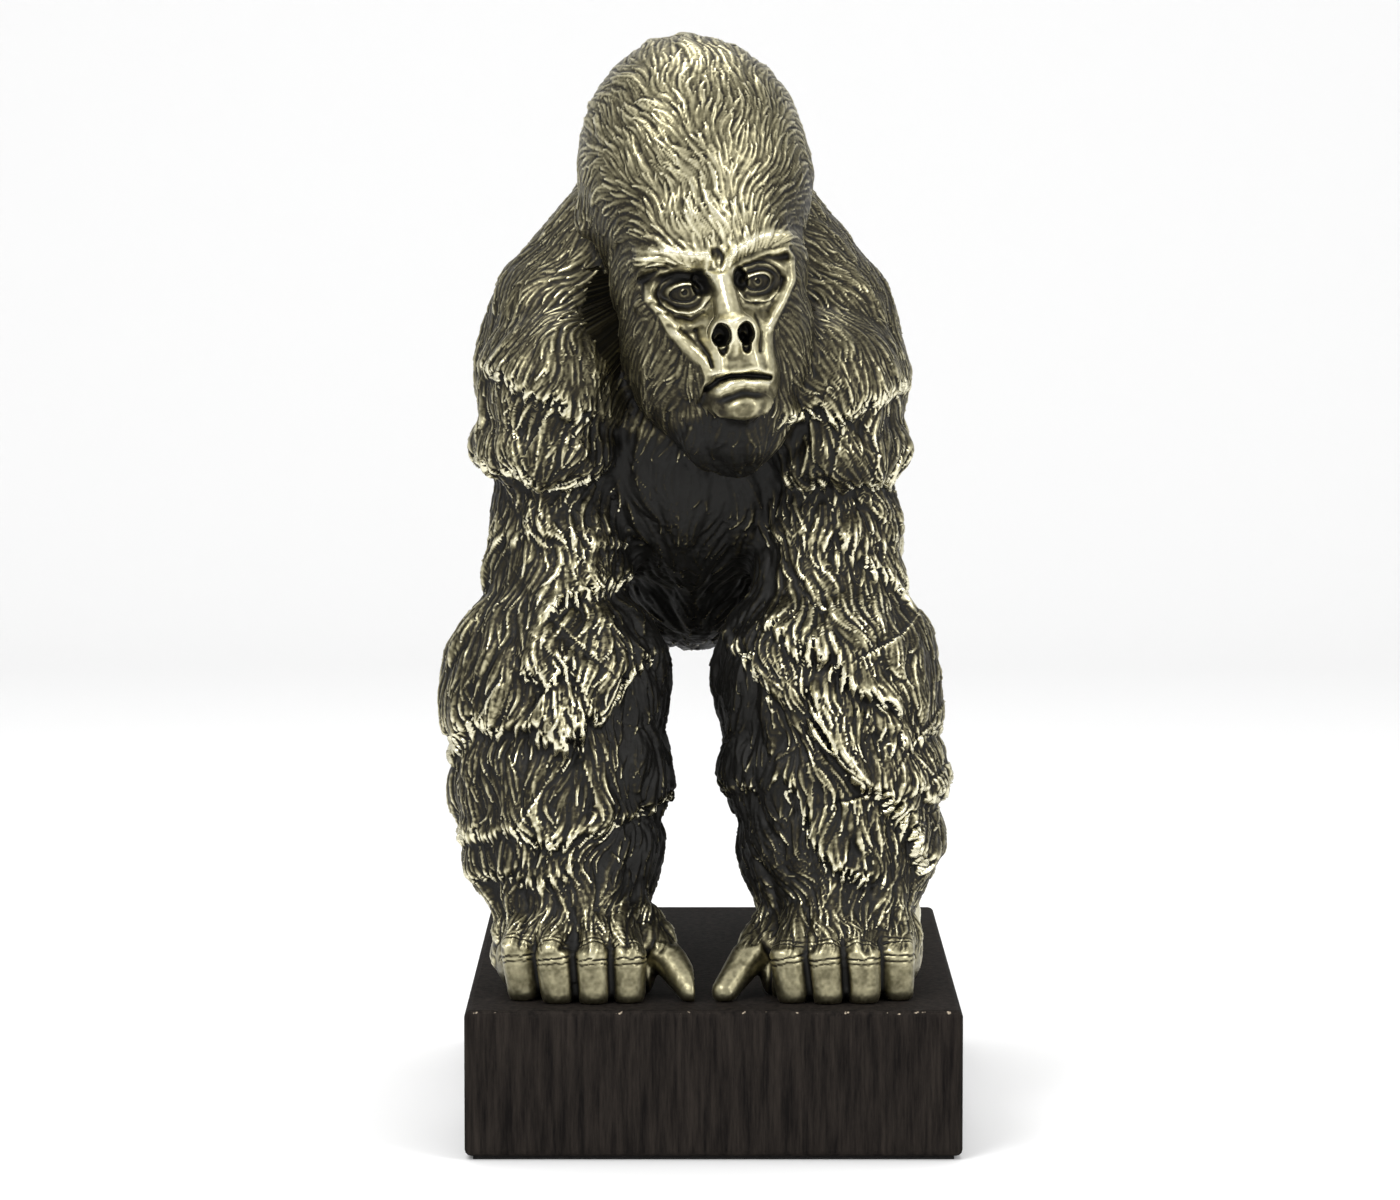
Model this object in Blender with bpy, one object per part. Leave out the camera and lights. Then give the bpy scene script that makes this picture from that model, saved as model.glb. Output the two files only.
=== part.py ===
"""A cast gorilla standing on all fours, screwed down on an ebonised wood block.

The gorilla looks along -Y, with its right arm on the -X side.
The origin is the middle of the underside, where the baize meets the shelf, and Z is up.
"""

import math

import bmesh
import bpy
import numpy as np
from mathutils import Euler, Matrix, Vector
from mathutils.kdtree import KDTree

MM = 0.001

# Wood block, with the baize glued to its underside
BLOCK_WIDTH = 180.0 * MM
BLOCK_DEPTH = 260.0 * MM
BLOCK_HEIGHT = 53.3 * MM
BLOCK_EDGE_ROUND = 2.4 * MM
BAIZE_THICKNESS = 1.0 * MM
BAIZE_INSET = 3.0 * MM
FACE_GAP = 0.3 * MM

# Screws that come up through the block into the hands and feet
SCREW_DIAMETER = 6.0 * MM
SCREW_BITE = 12.0 * MM
SCREW_HEAD_DIAMETER = 10.0 * MM
SCREW_HEAD_HEIGHT = 5.0 * MM
SOCKET_ACROSS_FLATS = 4.0 * MM
SOCKET_DEPTH = 2.6 * MM
WASHER_DIAMETER = 15.0 * MM
WASHER_THICKNESS = 1.6 * MM
COUNTERBORE_DEPTH = 14.0 * MM
COUNTERBORE_CLEARANCE = 0.8 * MM
SHANK_CLEARANCE = 0.5 * MM
THREAD_GAP = 0.3 * MM
TIP_CLEARANCE = 0.6 * MM

# Where the animal stands. Heights are above the block's top face
GROUND_MIDLINE_X = -2.0 * MM
SHOULDER_MIDLINE_X = -8.0 * MM
ARM_SPREAD = 50.0 * MM
HAND_Y = -86.0 * MM
LEG_SPREAD = 50.0 * MM
FOOT_Y = 72.0 * MM

# Trunk
SHOULDER_HEIGHT = 226.0 * MM
SHOULDER_Y = -42.0 * MM
SHOULDER_RADIUS = 33.0 * MM
HUMP_HEIGHT = 288.0 * MM
HUMP_Y = -10.0 * MM
BACK_RADIUS = 44.0 * MM
CHEST_HALF_WIDTH = 62.0 * MM
CHEST_HEIGHT = 202.0 * MM
BELLY_HALF_WIDTH = 60.0 * MM
BELLY_HALF_DEPTH = 78.0 * MM
BELLY_BOTTOM = 116.0 * MM
BELLY_Y = 32.0 * MM
RUMP_RADIUS = 49.0 * MM
RUMP_HEIGHT = 176.0 * MM
RUMP_Y = 84.0 * MM

# Arm and hand
UPPER_ARM_RADIUS = 25.0 * MM
ELBOW_HEIGHT = 118.0 * MM
ELBOW_Y = -54.0 * MM
FOREARM_RADIUS = 36.0 * MM
SLEEVE_DROP = 38.0 * MM
CUFF_DROP = 66.0 * MM
WRIST_HEIGHT = 44.0 * MM
WRIST_RADIUS = 31.0 * MM
HAND_HALF_WIDTH = 31.0 * MM
FINGER_RADIUS = 6.6 * MM
FINGER_PITCH = 13.4 * MM
KNUCKLE_HEIGHT = 21.0 * MM
FINGER_REACH = 31.0 * MM
THUMB_RADIUS = 6.0 * MM
THUMB_SPREAD = 43.0 * MM
THUMB_REACH = 22.0 * MM

# Hind leg and foot
THIGH_RADIUS = 33.0 * MM
KNEE_HEIGHT = 96.0 * MM
KNEE_Y = 56.0 * MM
SHIN_RADIUS = 25.0 * MM
ANKLE_HEIGHT = 22.0 * MM
FOOT_LENGTH = 66.0 * MM
FOOT_HALF_WIDTH = 19.0 * MM
TOE_RADIUS = 6.6 * MM

# Head, in a frame of its own at eye level: x to the animal's left, y backwards, z up the face
HEAD_X = -3.5 * MM
HEAD_Y = -64.0 * MM
EYE_HEIGHT = 258.4 * MM
HEAD_TURN = math.radians(9.0)
HEAD_TILT = math.radians(-8.5)
SKULL_HALF_WIDTH = 43.5 * MM
SKULL_HALF_DEPTH = 47.0 * MM
CROWN_HEIGHT = 93.0 * MM
CHEEK_HALF_WIDTH = 36.0 * MM
BEARD_DROP = 68.0 * MM
MUZZLE_REACH = 57.0 * MM
EYE_SPREAD = 13.8 * MM
EAR_RADIUS = 8.0 * MM
HEAD_MIDDLE = 20.0 * MM
HEAD_REACH = 78.0 * MM

# Fur: loose tufts, and tiers of the coat that end in a hem over the tier below
TUFT_LENGTH = 36.0 * MM
TUFT_WIDTH = 14.0 * MM
TUFT_DEPTH = 4.0 * MM
TUFT_PITCH = 17.0 * MM
HEAD_TUFT_SHARE = 0.36
HEM_REACH = 20.0 * MM
HEM_FADE = 8.0 * MM

# Mesh. FACE_DETAIL is how readily the face and fingers give up triangles, next to the fur
VOXEL = 2.2 * MM
SMOOTHING_ROUNDS = 6
CASTING_TRIANGLES = 11500
FACE_DETAIL = 0.015
ROUND_SIDES = 20
EDGE_SEGMENTS = 3

BLOCK_BOTTOM = BAIZE_THICKNESS + FACE_GAP
BLOCK_TOP = BLOCK_BOTTOM + BLOCK_HEIGHT
SOLE = BLOCK_TOP + FACE_GAP
SIDES = (-1, 1)


def midline(height):
    """The body leans a little to the right arm's side as it rises."""
    lean = min(max(height / ELBOW_HEIGHT, 0.0), 1.0)
    return GROUND_MIDLINE_X + (SHOULDER_MIDLINE_X - GROUND_MIDLINE_X) * lean


def at(x, y, height):
    """A point of the animal: x from its midline, height above the block's top."""
    return Vector((midline(height) + x, y, BLOCK_TOP + height))


def material(name, colour, roughness, metallic):
    made = bpy.data.materials.new(name)
    made.use_nodes = True
    surface = made.node_tree.nodes["Principled BSDF"]
    surface.inputs["Base Color"].default_value = (*colour, 1)
    surface.inputs["Roughness"].default_value = roughness
    surface.inputs["Metallic"].default_value = metallic
    return made


def object_from(name, bm, finish=None):
    mesh = bpy.data.meshes.new(name)
    bm.to_mesh(mesh)
    bm.free()
    made = bpy.data.objects.new(name, mesh)
    bpy.context.scene.collection.objects.link(made)
    if finish:
        mesh.materials.append(finish)
    return made


def cylinder(bm, radius, low, high, x=0.0, y=0.0, sides=ROUND_SIDES):
    place = Matrix.Translation((x, y, (low + high) / 2))
    bmesh.ops.create_cone(
        bm, cap_ends=True, segments=sides, radius1=radius, radius2=radius, depth=high - low, matrix=place
    )


def box(bm, width, depth, low, high):
    place = Matrix.Translation((0, 0, (low + high) / 2)) @ Matrix.Diagonal((width, depth, high - low, 1))
    bmesh.ops.create_cube(bm, size=1, matrix=place)


def cutter(name, bm):
    made = object_from(name, bm)
    made.hide_render = True
    made.display_type = "WIRE"
    return made


def cut(target, name, tool):
    cutting = target.modifiers.new(name, "BOOLEAN")
    cutting.operation = "DIFFERENCE"
    cutting.solver = "EXACT"
    cutting.object = tool


# Blocking out: overlapping balls and tapered limbs, which a voxel remesh joins


def unit_sphere():
    """Points and faces of a small sphere, which every form of the blocking is drawn from."""
    bm = bmesh.new()
    bmesh.ops.create_uvsphere(bm, u_segments=28, v_segments=16, radius=1)
    points = np.array([vertex.co for vertex in bm.verts])
    faces = [[vertex.index for vertex in face.verts] for face in bm.faces]
    bm.free()
    return points, faces


SPHERE_POINTS, SPHERE_FACES = unit_sphere()


def ball(forms, centre, radii, turn=None):
    turn = np.array(turn or Matrix.Identity(3))
    forms.append((SPHERE_POINTS * np.array(radii)) @ turn.T + np.array(centre))


def limb(forms, start, end, start_radius, end_radius):
    """A sphere drawn out between two points, with its own radius at each end."""
    turn = np.array((end - start).to_track_quat("Z", "Y").to_matrix())
    turned = SPHERE_POINTS @ turn.T
    past_middle = SPHERE_POINTS[:, 2:] > 0.01
    near_end = np.array(end) + turned * end_radius
    near_start = np.array(start) + turned * start_radius
    forms.append(np.where(past_middle, near_end, near_start))


def trunk(forms):
    hump = at(0, HUMP_Y, HUMP_HEIGHT - BACK_RADIUS)
    loin = at(2 * MM, RUMP_Y - 34 * MM, (HUMP_HEIGHT + RUMP_HEIGHT) / 2 - 22 * MM)
    rump = at(3 * MM, RUMP_Y, RUMP_HEIGHT)
    belly_half_height = (RUMP_HEIGHT + 34 * MM - BELLY_BOTTOM) / 2
    belly = at(3 * MM, BELLY_Y, BELLY_BOTTOM + belly_half_height)
    limb(forms, hump, loin, BACK_RADIUS, BACK_RADIUS)
    limb(forms, loin, rump, BACK_RADIUS, RUMP_RADIUS)
    ball(forms, at(0, SHOULDER_Y + 22 * MM, CHEST_HEIGHT), (CHEST_HALF_WIDTH, 56 * MM, 62 * MM))
    ball(forms, belly, (BELLY_HALF_WIDTH, BELLY_HALF_DEPTH, belly_half_height))
    for side in SIDES:
        cheek = at(side * 22 * MM, RUMP_Y + 4 * MM, RUMP_HEIGHT - 8 * MM)
        ball(forms, cheek, (RUMP_RADIUS * 0.78, RUMP_RADIUS * 0.9, RUMP_RADIUS))


def shoulders(forms):
    """The long coat over each shoulder, hanging in two tiers over the upper arm."""
    for side in SIDES:
        joint = at(side * (ARM_SPREAD - 4 * MM), SHOULDER_Y, SHOULDER_HEIGHT)
        crest = joint + Vector((0, 4 * MM, 17 * MM))
        neck = at(side * 20 * MM, HUMP_Y - 16 * MM, HUMP_HEIGHT - 8 * MM)
        limb(forms, neck, crest, 28 * MM, SHOULDER_RADIUS - 1 * MM)
        cap = joint + Vector((side * 3 * MM, 0, 0))
        limb(forms, crest, cap, SHOULDER_RADIUS - 1 * MM, SHOULDER_RADIUS - 1 * MM)
        upper_tier = joint + Vector((side * 2 * MM, -6 * MM, -4 * MM))
        ball(forms, upper_tier, (32 * MM, 42 * MM, 34 * MM))
        lower_tier = joint + Vector((side * 4 * MM, -6 * MM, -27 * MM))
        ball(forms, lower_tier, (31 * MM, 38 * MM, 20 * MM))


def arm(forms, side):
    joint = at(side * (ARM_SPREAD - 3 * MM), SHOULDER_Y, SHOULDER_HEIGHT - 14 * MM)
    elbow = at(side * ARM_SPREAD, ELBOW_Y, ELBOW_HEIGHT + 10 * MM)
    forearm = at(side * ARM_SPREAD, ELBOW_Y - 4 * MM, ELBOW_HEIGHT - 6 * MM)
    sleeve = at(side * ARM_SPREAD, ELBOW_Y - 8 * MM, ELBOW_HEIGHT - SLEEVE_DROP)
    cuff = at(side * (ARM_SPREAD + 1 * MM), ELBOW_Y - 11 * MM, ELBOW_HEIGHT - CUFF_DROP)
    wrist = at(side * ARM_SPREAD, HAND_Y + 16 * MM, WRIST_HEIGHT - 4 * MM)
    limb(forms, joint, elbow, UPPER_ARM_RADIUS, UPPER_ARM_RADIUS + 5 * MM)
    limb(forms, forearm, wrist, FOREARM_RADIUS, WRIST_RADIUS)
    ball(forms, forearm, (FOREARM_RADIUS + 7 * MM, FOREARM_RADIUS, FOREARM_RADIUS + 7 * MM))
    ball(forms, sleeve, (FOREARM_RADIUS + 5 * MM, FOREARM_RADIUS - 1 * MM, FOREARM_RADIUS + 2 * MM))
    ball(forms, cuff, (FOREARM_RADIUS + 2 * MM, FOREARM_RADIUS - 2 * MM, FOREARM_RADIUS - 4 * MM))


def hand_place(side):
    """Middle of the hand's sole, which its screw comes up through."""
    return at(side * (ARM_SPREAD - 1 * MM), HAND_Y, 0)


def hand(forms, side):
    """The back of a hand, four bent fingers with the outer one shortest, and the thumb inside."""
    palm = hand_place(side)
    wrist = palm + Vector((side * 1 * MM, 16 * MM, WRIST_HEIGHT))
    ball(forms, palm + Vector((0, 6 * MM, 16 * MM)), (HAND_HALF_WIDTH, 31 * MM, 25 * MM))
    limb(forms, wrist, palm + Vector((0, -2 * MM, 21 * MM)), WRIST_RADIUS, 20 * MM)
    for finger in range(4):
        across = side * (finger - 1.5) * FINGER_PITCH
        back = (2, 0, 1, 8)[finger] * MM
        thick = FINGER_RADIUS * (0.95, 1.06, 1.04, 0.92)[finger]
        root = palm + Vector((across * 0.84, -11 * MM + back, KNUCKLE_HEIGHT + 8 * MM))
        knuckle = palm + Vector((across, -FINGER_REACH + thick + back, KNUCKLE_HEIGHT - thick * 0.6))
        tip = palm + Vector((across * 0.96 + 1 * MM, -FINGER_REACH + thick * 0.8 + back, thick * 0.6))
        limb(forms, root, knuckle, thick * 1.05, thick * 1.08)
        limb(forms, knuckle, tip, thick * 1.08, thick * 0.98)
        limb(forms, tip, palm + Vector((across * 0.9, -6 * MM, 9 * MM)), thick * 0.9, thick)
    thumb_root = palm + Vector((-side * THUMB_SPREAD * 0.52, 4 * MM, 25 * MM))
    thumb_joint = palm + Vector((-side * THUMB_SPREAD * 0.82, -THUMB_REACH * 0.5, 13 * MM))
    thumb_tip = palm + Vector((-side * THUMB_SPREAD, -THUMB_REACH, THUMB_RADIUS * 0.6))
    limb(forms, thumb_root, thumb_joint, THUMB_RADIUS * 1.6, THUMB_RADIUS * 1.08)
    limb(forms, thumb_joint, thumb_tip, THUMB_RADIUS * 1.08, THUMB_RADIUS * 0.82)
    heel = palm + Vector((-side * 17 * MM, -6 * MM, 7 * MM))
    ball(forms, heel, (13 * MM, 13 * MM, 11 * MM))


def foot_place(side):
    """Middle of the foot's sole, which its screw comes up through."""
    return at(side * LEG_SPREAD + 3 * MM, FOOT_Y, 0)


def hind_leg(forms, side):
    sole = foot_place(side)
    hip = at(side * (LEG_SPREAD - 9 * MM) + 3 * MM, RUMP_Y - 4 * MM, RUMP_HEIGHT - 26 * MM)
    knee = at(side * (LEG_SPREAD + 1 * MM) + 3 * MM, KNEE_Y, KNEE_HEIGHT)
    ankle = sole + Vector((0, 16 * MM, ANKLE_HEIGHT + 10 * MM))
    limb(forms, hip, knee, THIGH_RADIUS + 6 * MM, THIGH_RADIUS - 3 * MM)
    limb(forms, knee, ankle, THIGH_RADIUS - 5 * MM, SHIN_RADIUS)
    heel = sole + Vector((0, FOOT_LENGTH * 0.36, 14 * MM))
    ball_of_foot = sole + Vector((side * 2 * MM, -FOOT_LENGTH * 0.26, 11 * MM))
    limb(forms, heel, ball_of_foot, FOOT_HALF_WIDTH - 3 * MM, FOOT_HALF_WIDTH - 5 * MM)
    ball(forms, ball_of_foot, (FOOT_HALF_WIDTH + 4 * MM, 18 * MM, 13 * MM))
    for toe in range(4):
        across = side * (toe - 1.0) * 11.4 * MM
        root = ball_of_foot + Vector((across * 0.8, -6 * MM, -2 * MM))
        knuckle = ball_of_foot + Vector((across, -18 * MM + toe * 2.4 * MM, 0))
        tip = knuckle + Vector((0, -5 * MM, -7 * MM))
        limb(forms, root, knuckle, TOE_RADIUS, TOE_RADIUS)
        limb(forms, knuckle, tip, TOE_RADIUS, TOE_RADIUS * 0.85)
    toe_root = ball_of_foot + Vector((-side * 14 * MM, 4 * MM, -2 * MM))
    toe_tip = toe_root + Vector((-side * 6 * MM, -15 * MM, -4 * MM))
    limb(forms, toe_root, toe_tip, TOE_RADIUS * 1.3, TOE_RADIUS)


def head_frame():
    turn = Euler((0, HEAD_TILT, HEAD_TURN)).to_matrix().to_4x4()
    return Matrix.Translation((HEAD_X, HEAD_Y, BLOCK_TOP + EYE_HEIGHT)) @ turn


def head(forms):
    frame = head_frame()
    turn = frame.to_3x3()

    def lump(x, y, z, radii):
        ball(forms, frame @ Vector((x, y, z)), radii, turn)

    def roll(start, end, start_radius, end_radius):
        limb(forms, frame @ Vector(start), frame @ Vector(end), start_radius, end_radius)

    skull_half_height = 52 * MM
    skull = (SKULL_HALF_WIDTH, SKULL_HALF_DEPTH, skull_half_height)
    lump(3 * MM, 2 * MM, CROWN_HEIGHT - skull_half_height, skull)
    lump(1 * MM, -12 * MM, 27 * MM, (36 * MM, 35.5 * MM, 28 * MM))
    nape = at(0, HUMP_Y - 4 * MM, HUMP_HEIGHT - 40 * MM)
    limb(forms, frame @ Vector((2 * MM, 10 * MM, 24 * MM)), nape, 38 * MM, 38 * MM)
    lump(1 * MM, -10 * MM, 6 * MM, (37 * MM, 36 * MM, 36 * MM))
    roll((0, -20 * MM, -26 * MM), (0, -20 * MM, -BEARD_DROP + 17 * MM), 30 * MM, 17 * MM)
    lump(0, -22 * MM, -BEARD_DROP + 23 * MM, (26 * MM, 24 * MM, 21 * MM))
    lump(0, -MUZZLE_REACH + 23 * MM, -26 * MM, (20 * MM, 21 * MM, 25 * MM))
    lump(0, -MUZZLE_REACH + 8 * MM, -41 * MM, (12 * MM, 8 * MM, 8 * MM))
    for side in SIDES:
        lump(side * (CHEEK_HALF_WIDTH - 18 * MM), -14 * MM, -18 * MM, (18 * MM, 29 * MM, 34 * MM))
        lump(side * (SKULL_HALF_WIDTH - 2 * MM) + 2 * MM, 5 * MM, 32 * MM, (4 * MM, 6 * MM, EAR_RADIUS))
        brow = ((side * 6 * MM, -41 * MM, 14 * MM), (side * 25 * MM, -33 * MM, 15 * MM))
        roll(*brow, 6 * MM, 5.5 * MM)
        cheekbone = ((side * 27 * MM, -32 * MM, -1 * MM), (side * 14 * MM, -41 * MM, -17 * MM))
        roll(*cheekbone, 5 * MM, 6 * MM)
    roll((0, -43 * MM, 6 * MM), (0, -MUZZLE_REACH + 6 * MM, -10 * MM), 4.5 * MM, 5 * MM)
    lump(0, -MUZZLE_REACH + 5 * MM, -15 * MM, (9.5 * MM, 7 * MM, 8 * MM))


def blocked_out():
    """One closed skin round every form of the animal, as a mesh."""
    forms = []
    trunk(forms)
    shoulders(forms)
    head(forms)
    for side in SIDES:
        arm(forms, side)
        hand(forms, side)
        hind_leg(forms, side)
    faces = []
    for form in range(len(forms)):
        first = form * len(SPHERE_POINTS)
        faces.extend([index + first for index in face] for face in SPHERE_FACES)
    mesh = bpy.data.meshes.new("blocking")
    mesh.from_pydata(np.concatenate(forms), [], faces)
    rough = bpy.data.objects.new("blocking", mesh)
    bpy.context.scene.collection.objects.link(rough)
    joined = rough.modifiers.new("join", "REMESH")
    joined.mode = "VOXEL"
    joined.voxel_size = VOXEL
    soft = rough.modifiers.new("soften", "SMOOTH")
    soft.factor = 0.5
    soft.iterations = int(SMOOTHING_ROUNDS)
    skin = evaluated(rough)
    bpy.data.objects.remove(rough)
    return skin


def evaluated(source):
    graph = bpy.context.evaluated_depsgraph_get()
    return bpy.data.meshes.new_from_object(source.evaluated_get(graph))


# Modelling the skin, point by point. Every array holds one row for each vertex


def smooth_step(value, low, high):
    share = np.clip((value - low) / (high - low), 0, 1)
    return share * share * (3 - 2 * share)


def along(points, path):
    """Distance of flat points from an open path, in the path's own plane."""
    nearest = np.full(len(points), 1.0)
    for start, end in zip(path[:-1], path[1:]):
        start, end = np.array(start), np.array(end)
        run = end - start
        share = np.clip((points - start) @ run / (run @ run), 0, 1)
        nearest = np.minimum(nearest, np.linalg.norm(points - start - share[:, None] * run, axis=1))
    return nearest


def ridge(points, path, half_width, height):
    return height * np.exp(-((along(points, path) / half_width) ** 2))


def dish(points, centre, radii, height):
    away = np.linalg.norm((points - np.array(centre)) / np.array(radii), axis=1)
    return height * (1 - smooth_step(away, 0.45, 1.15))


def face_relief(flat):
    """How far the face stands forward of its blocking, from x and z in the head's frame."""
    relief = np.zeros(len(flat))
    for side in SIDES:
        eye = (side * EYE_SPREAD, 1.0 * MM)
        relief += dish(flat, eye, (11 * MM, 8 * MM), -6.0 * MM)
        relief += dish(flat, eye, (5.4 * MM, 4.2 * MM), 3.4 * MM)
        brow = [(side * x * MM, z * MM) for x, z in ((3.5, 11), (12, 15), (21, 16), (29, 11))]
        relief += ridge(flat, brow, 4.6 * MM, 2.2 * MM)
        fold = [(side * x * MM, z * MM) for x, z in ((28, 3), (22, -8), (15, -15), (12, -22), (12.5, -32))]
        relief += ridge(flat, fold, 2.6 * MM, 2.4 * MM)
        furrow = [(side * x * MM, z * MM) for x, z in ((8.5, -8), (9.8, -18), (8.4, -27))]
        relief += ridge(flat, furrow, 1.8 * MM, -1.8 * MM)
        nostril_rim = ((0.6, -10.5), (4.4, -8.6), (8.3, -12.5), (7.4, -19), (4.8, -25))
        wing = [(side * x * MM, z * MM) for x, z in nostril_rim]
        relief += ridge(flat, wing, 1.8 * MM, 2.0 * MM)
        relief += dish(flat, (side * 4.5 * MM, -15.5 * MM), (3.8 * MM, 4.8 * MM), -6.0 * MM)
    lips_meet = ((-12.3, -38), (-10.2, -33), (-5.7, -30.7), (1.6, -30.5), (11.4, -32.8))
    mouth = [(x * MM, z * MM) for x, z in lips_meet]
    relief += ridge(flat, mouth, 1.7 * MM, -3.6 * MM)
    lip = [(x * MM, z * MM) for x, z in ((-7.6, -35.4), (0.4, -34.2), (8.6, -35.6))]
    relief += ridge(flat, lip, 2.2 * MM, 2.2 * MM)
    under_lip = [(x * MM, z * MM) for x, z in ((-7, -39.2), (7, -39.4))]
    relief += ridge(flat, under_lip, 1.8 * MM, -1.4 * MM)
    return relief


def in_head(points):
    inverse = np.array(head_frame().inverted())
    return points @ inverse[:3, :3].T + inverse[:3, 3]


def face_share(local):
    """1 on the bare skin of the face, 0 on the fur round it."""
    heights = np.array((-50, -44, -30, -16, 0, 12)) * MM
    half_widths = np.array((8, 14, 14, 19, 28, 30)) * MM
    wide = np.interp(local[:, 2], heights, half_widths)
    side = 1 - smooth_step(np.abs(local[:, 0]), wide - 1 * MM, wide + 3 * MM)
    low = smooth_step(local[:, 2], -50 * MM, -45 * MM)
    high = 1 - smooth_step(local[:, 2] - 0.15 * np.abs(local[:, 0]), 9 * MM, 14 * MM)
    return side * low * high * (local[:, 1] < -22 * MM)


def bare_share(points):
    """1 on the fingers and toes, which have no fur."""
    height = points[:, 2] - BLOCK_TOP
    fingers = (1 - smooth_step(height, 17 * MM, 26 * MM)) * (points[:, 1] < HAND_Y + 20 * MM)
    toes = (1 - smooth_step(height, 12 * MM, 20 * MM)) * (points[:, 1] > 0)
    return np.maximum(fingers, toes)


def combing():
    """Guides for the fur: places on the animal and the way the coat is combed there."""
    head_to_world = head_frame()
    guides = []
    on_head = (
        ((0, -46, 22), (0, 0.3, 1)),
        ((16, -42, 24), (0.5, 0.3, 0.8)),
        ((32, -30, 22), (0.8, 0.5, 0.2)),
        ((0, -30, 66), (0, 0.6, 0.8)),
        ((26, -20, 62), (0.3, 0.7, 0.5)),
        ((0, 10, 88), (0, 1, 0)),
        ((0, 42, 60), (0, 0.5, -0.9)),
        ((42, -8, 40), (0.1, 0.4, -0.9)),
        ((36, -24, 4), (0.3, 0.5, -0.8)),
        ((30, -30, -24), (0.3, 0.2, -1)),
        ((16, -36, -50), (0.2, -0.1, -1)),
    )
    on_body = (
        ((0, -40, 150), (0, -0.2, -1)),
        ((36, -50, 262), (0.8, -0.3, -0.5)),
        ((62, -44, 244), (0.6, -0.2, -0.8)),
        ((80, -42, 216), (0.2, -0.1, -1)),
        ((50, -82, 214), (0.3, -0.3, -0.9)),
        ((56, 4, 230), (0.4, 0.4, -0.9)),
        ((50, -84, 170), (0.1, -0.1, -1)),
        ((50, -92, 110), (0.2, -0.1, -1)),
        ((88, -56, 110), (0, 0, -1)),
        ((18, -60, 100), (-0.1, 0, -1)),
        ((50, -24, 110), (0, 0.2, -1)),
        ((50, -104, 40), (0.1, -0.6, -0.8)),
        ((0, 20, 282), (0, 0.9, -0.4)),
        ((0, 96, 222), (0, 0.6, -0.8)),
        ((62, 30, 190), (0.1, 0.5, -0.8)),
        ((0, 40, 118), (0, 1, 0)),
        ((42, 124, 160), (0, 0.1, -1)),
        ((62, 70, 120), (0, 0, -1)),
        ((50, 84, 60), (0, 0.1, -1)),
        ((50, 40, 20), (0, -0.9, -0.3)),
    )
    for side in SIDES:
        for (x, y, z), (way_x, way_y, way_z) in on_head:
            place = head_to_world @ Vector((side * x * MM, y * MM, z * MM))
            way = head_to_world.to_3x3() @ Vector((side * way_x, way_y, way_z))
            guides.append((place, way))
        for (x, y, z), (way_x, way_y, way_z) in on_body:
            guides.append((at(side * x * MM, y * MM, z * MM), Vector((side * way_x, way_y, way_z))))
    places = np.array([place for place, _ in guides])
    ways = np.array([way.normalized() for _, way in guides])
    return places, ways


def fur_way(points, normals, places, ways, reach=24 * MM):
    """The combed direction on the skin at each point, with a slow wave in it."""
    apart = ((points[:, None] - places[None]) ** 2).sum(axis=2)
    weight = np.exp(-(apart - apart.min(axis=1, keepdims=True)) / reach**2)
    way = weight @ ways
    way -= (way * normals).sum(axis=1, keepdims=True) * normals
    way /= np.linalg.norm(way, axis=1, keepdims=True) + 1e-9
    wave = 0.32 * np.sin(points @ np.array((150.0, 60.0, 95.0)))
    wave += 0.22 * np.sin(points @ np.array((-90.0, 170.0, 210.0)))
    across = np.cross(normals, way)
    return way * np.cos(wave)[:, None] + across * np.sin(wave)[:, None]


def on_head(points):
    local = in_head(points)
    near = np.linalg.norm(local - np.array((0, 0, HEAD_MIDDLE)), axis=1) < HEAD_REACH
    return near & (local[:, 2] > -BEARD_DROP)


def scattered(cells, number):
    """An even spread of values from 0 to 1, one for each cell of space."""
    key = cells @ np.array((73856093, 19349663, 83492791)) + number * 7919
    key = (key ^ (key >> 13)) & 0xFFFFFFF
    return (key * 1274126177 & 0x7FFFFFFF) % 20011 / 20010


def tufts(points, normals):
    """Height of the overlapping locks of fur over the skin, one rooted near each cell's middle."""
    places, ways = combing()
    tree = KDTree(len(points))
    for index, point in enumerate(points):
        tree.insert(point, index)
    tree.balance()
    height = np.zeros(len(points))
    head = on_head(points)
    way = fur_way(points, normals, places, ways)
    cells = np.unique(np.floor(points / TUFT_PITCH).astype(int), axis=0)
    shift = np.column_stack([scattered(cells, number) for number in range(3)]) * 0.5 - 0.25
    targets = (cells + 0.5 + shift) * TUFT_PITCH
    sizes = 0.75 + 0.5 * scattered(cells, 3)
    depths = TUFT_DEPTH * (0.6 + 0.5 * scattered(cells, 4))
    steps = 8
    for target, size, depth in zip(targets, sizes, depths):
        _, index, apart = tree.find(target)
        if apart > TUFT_PITCH * 0.42:
            continue
        if head[index]:
            size, depth = size * HEAD_TUFT_SHARE ** 0.5, depth * HEAD_TUFT_SHARE
        length, width = TUFT_LENGTH * size, TUFT_WIDTH * size
        here = Vector(points[index])
        for step in range(steps + 1):
            share = step / steps
            rise = depth * (0.25 + 0.75 * share) * math.sqrt(max(1 - max(share - 0.7, 0) / 0.3, 0))
            half = width * 0.5 * math.sin(math.pi * (0.12 + 0.8 * share) ** 0.9)
            for _, near, apart in tree.find_range(here, half):
                height[near] = max(height[near], rise * (1 - (apart / half) ** 2))
            here = here + Vector(way[index]) * (length / steps)
            _, index, _ = tree.find(here)
            here = Vector(points[index])
    return height - 0.4 * TUFT_DEPTH * np.where(head, HEAD_TUFT_SHARE, 1)


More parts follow.
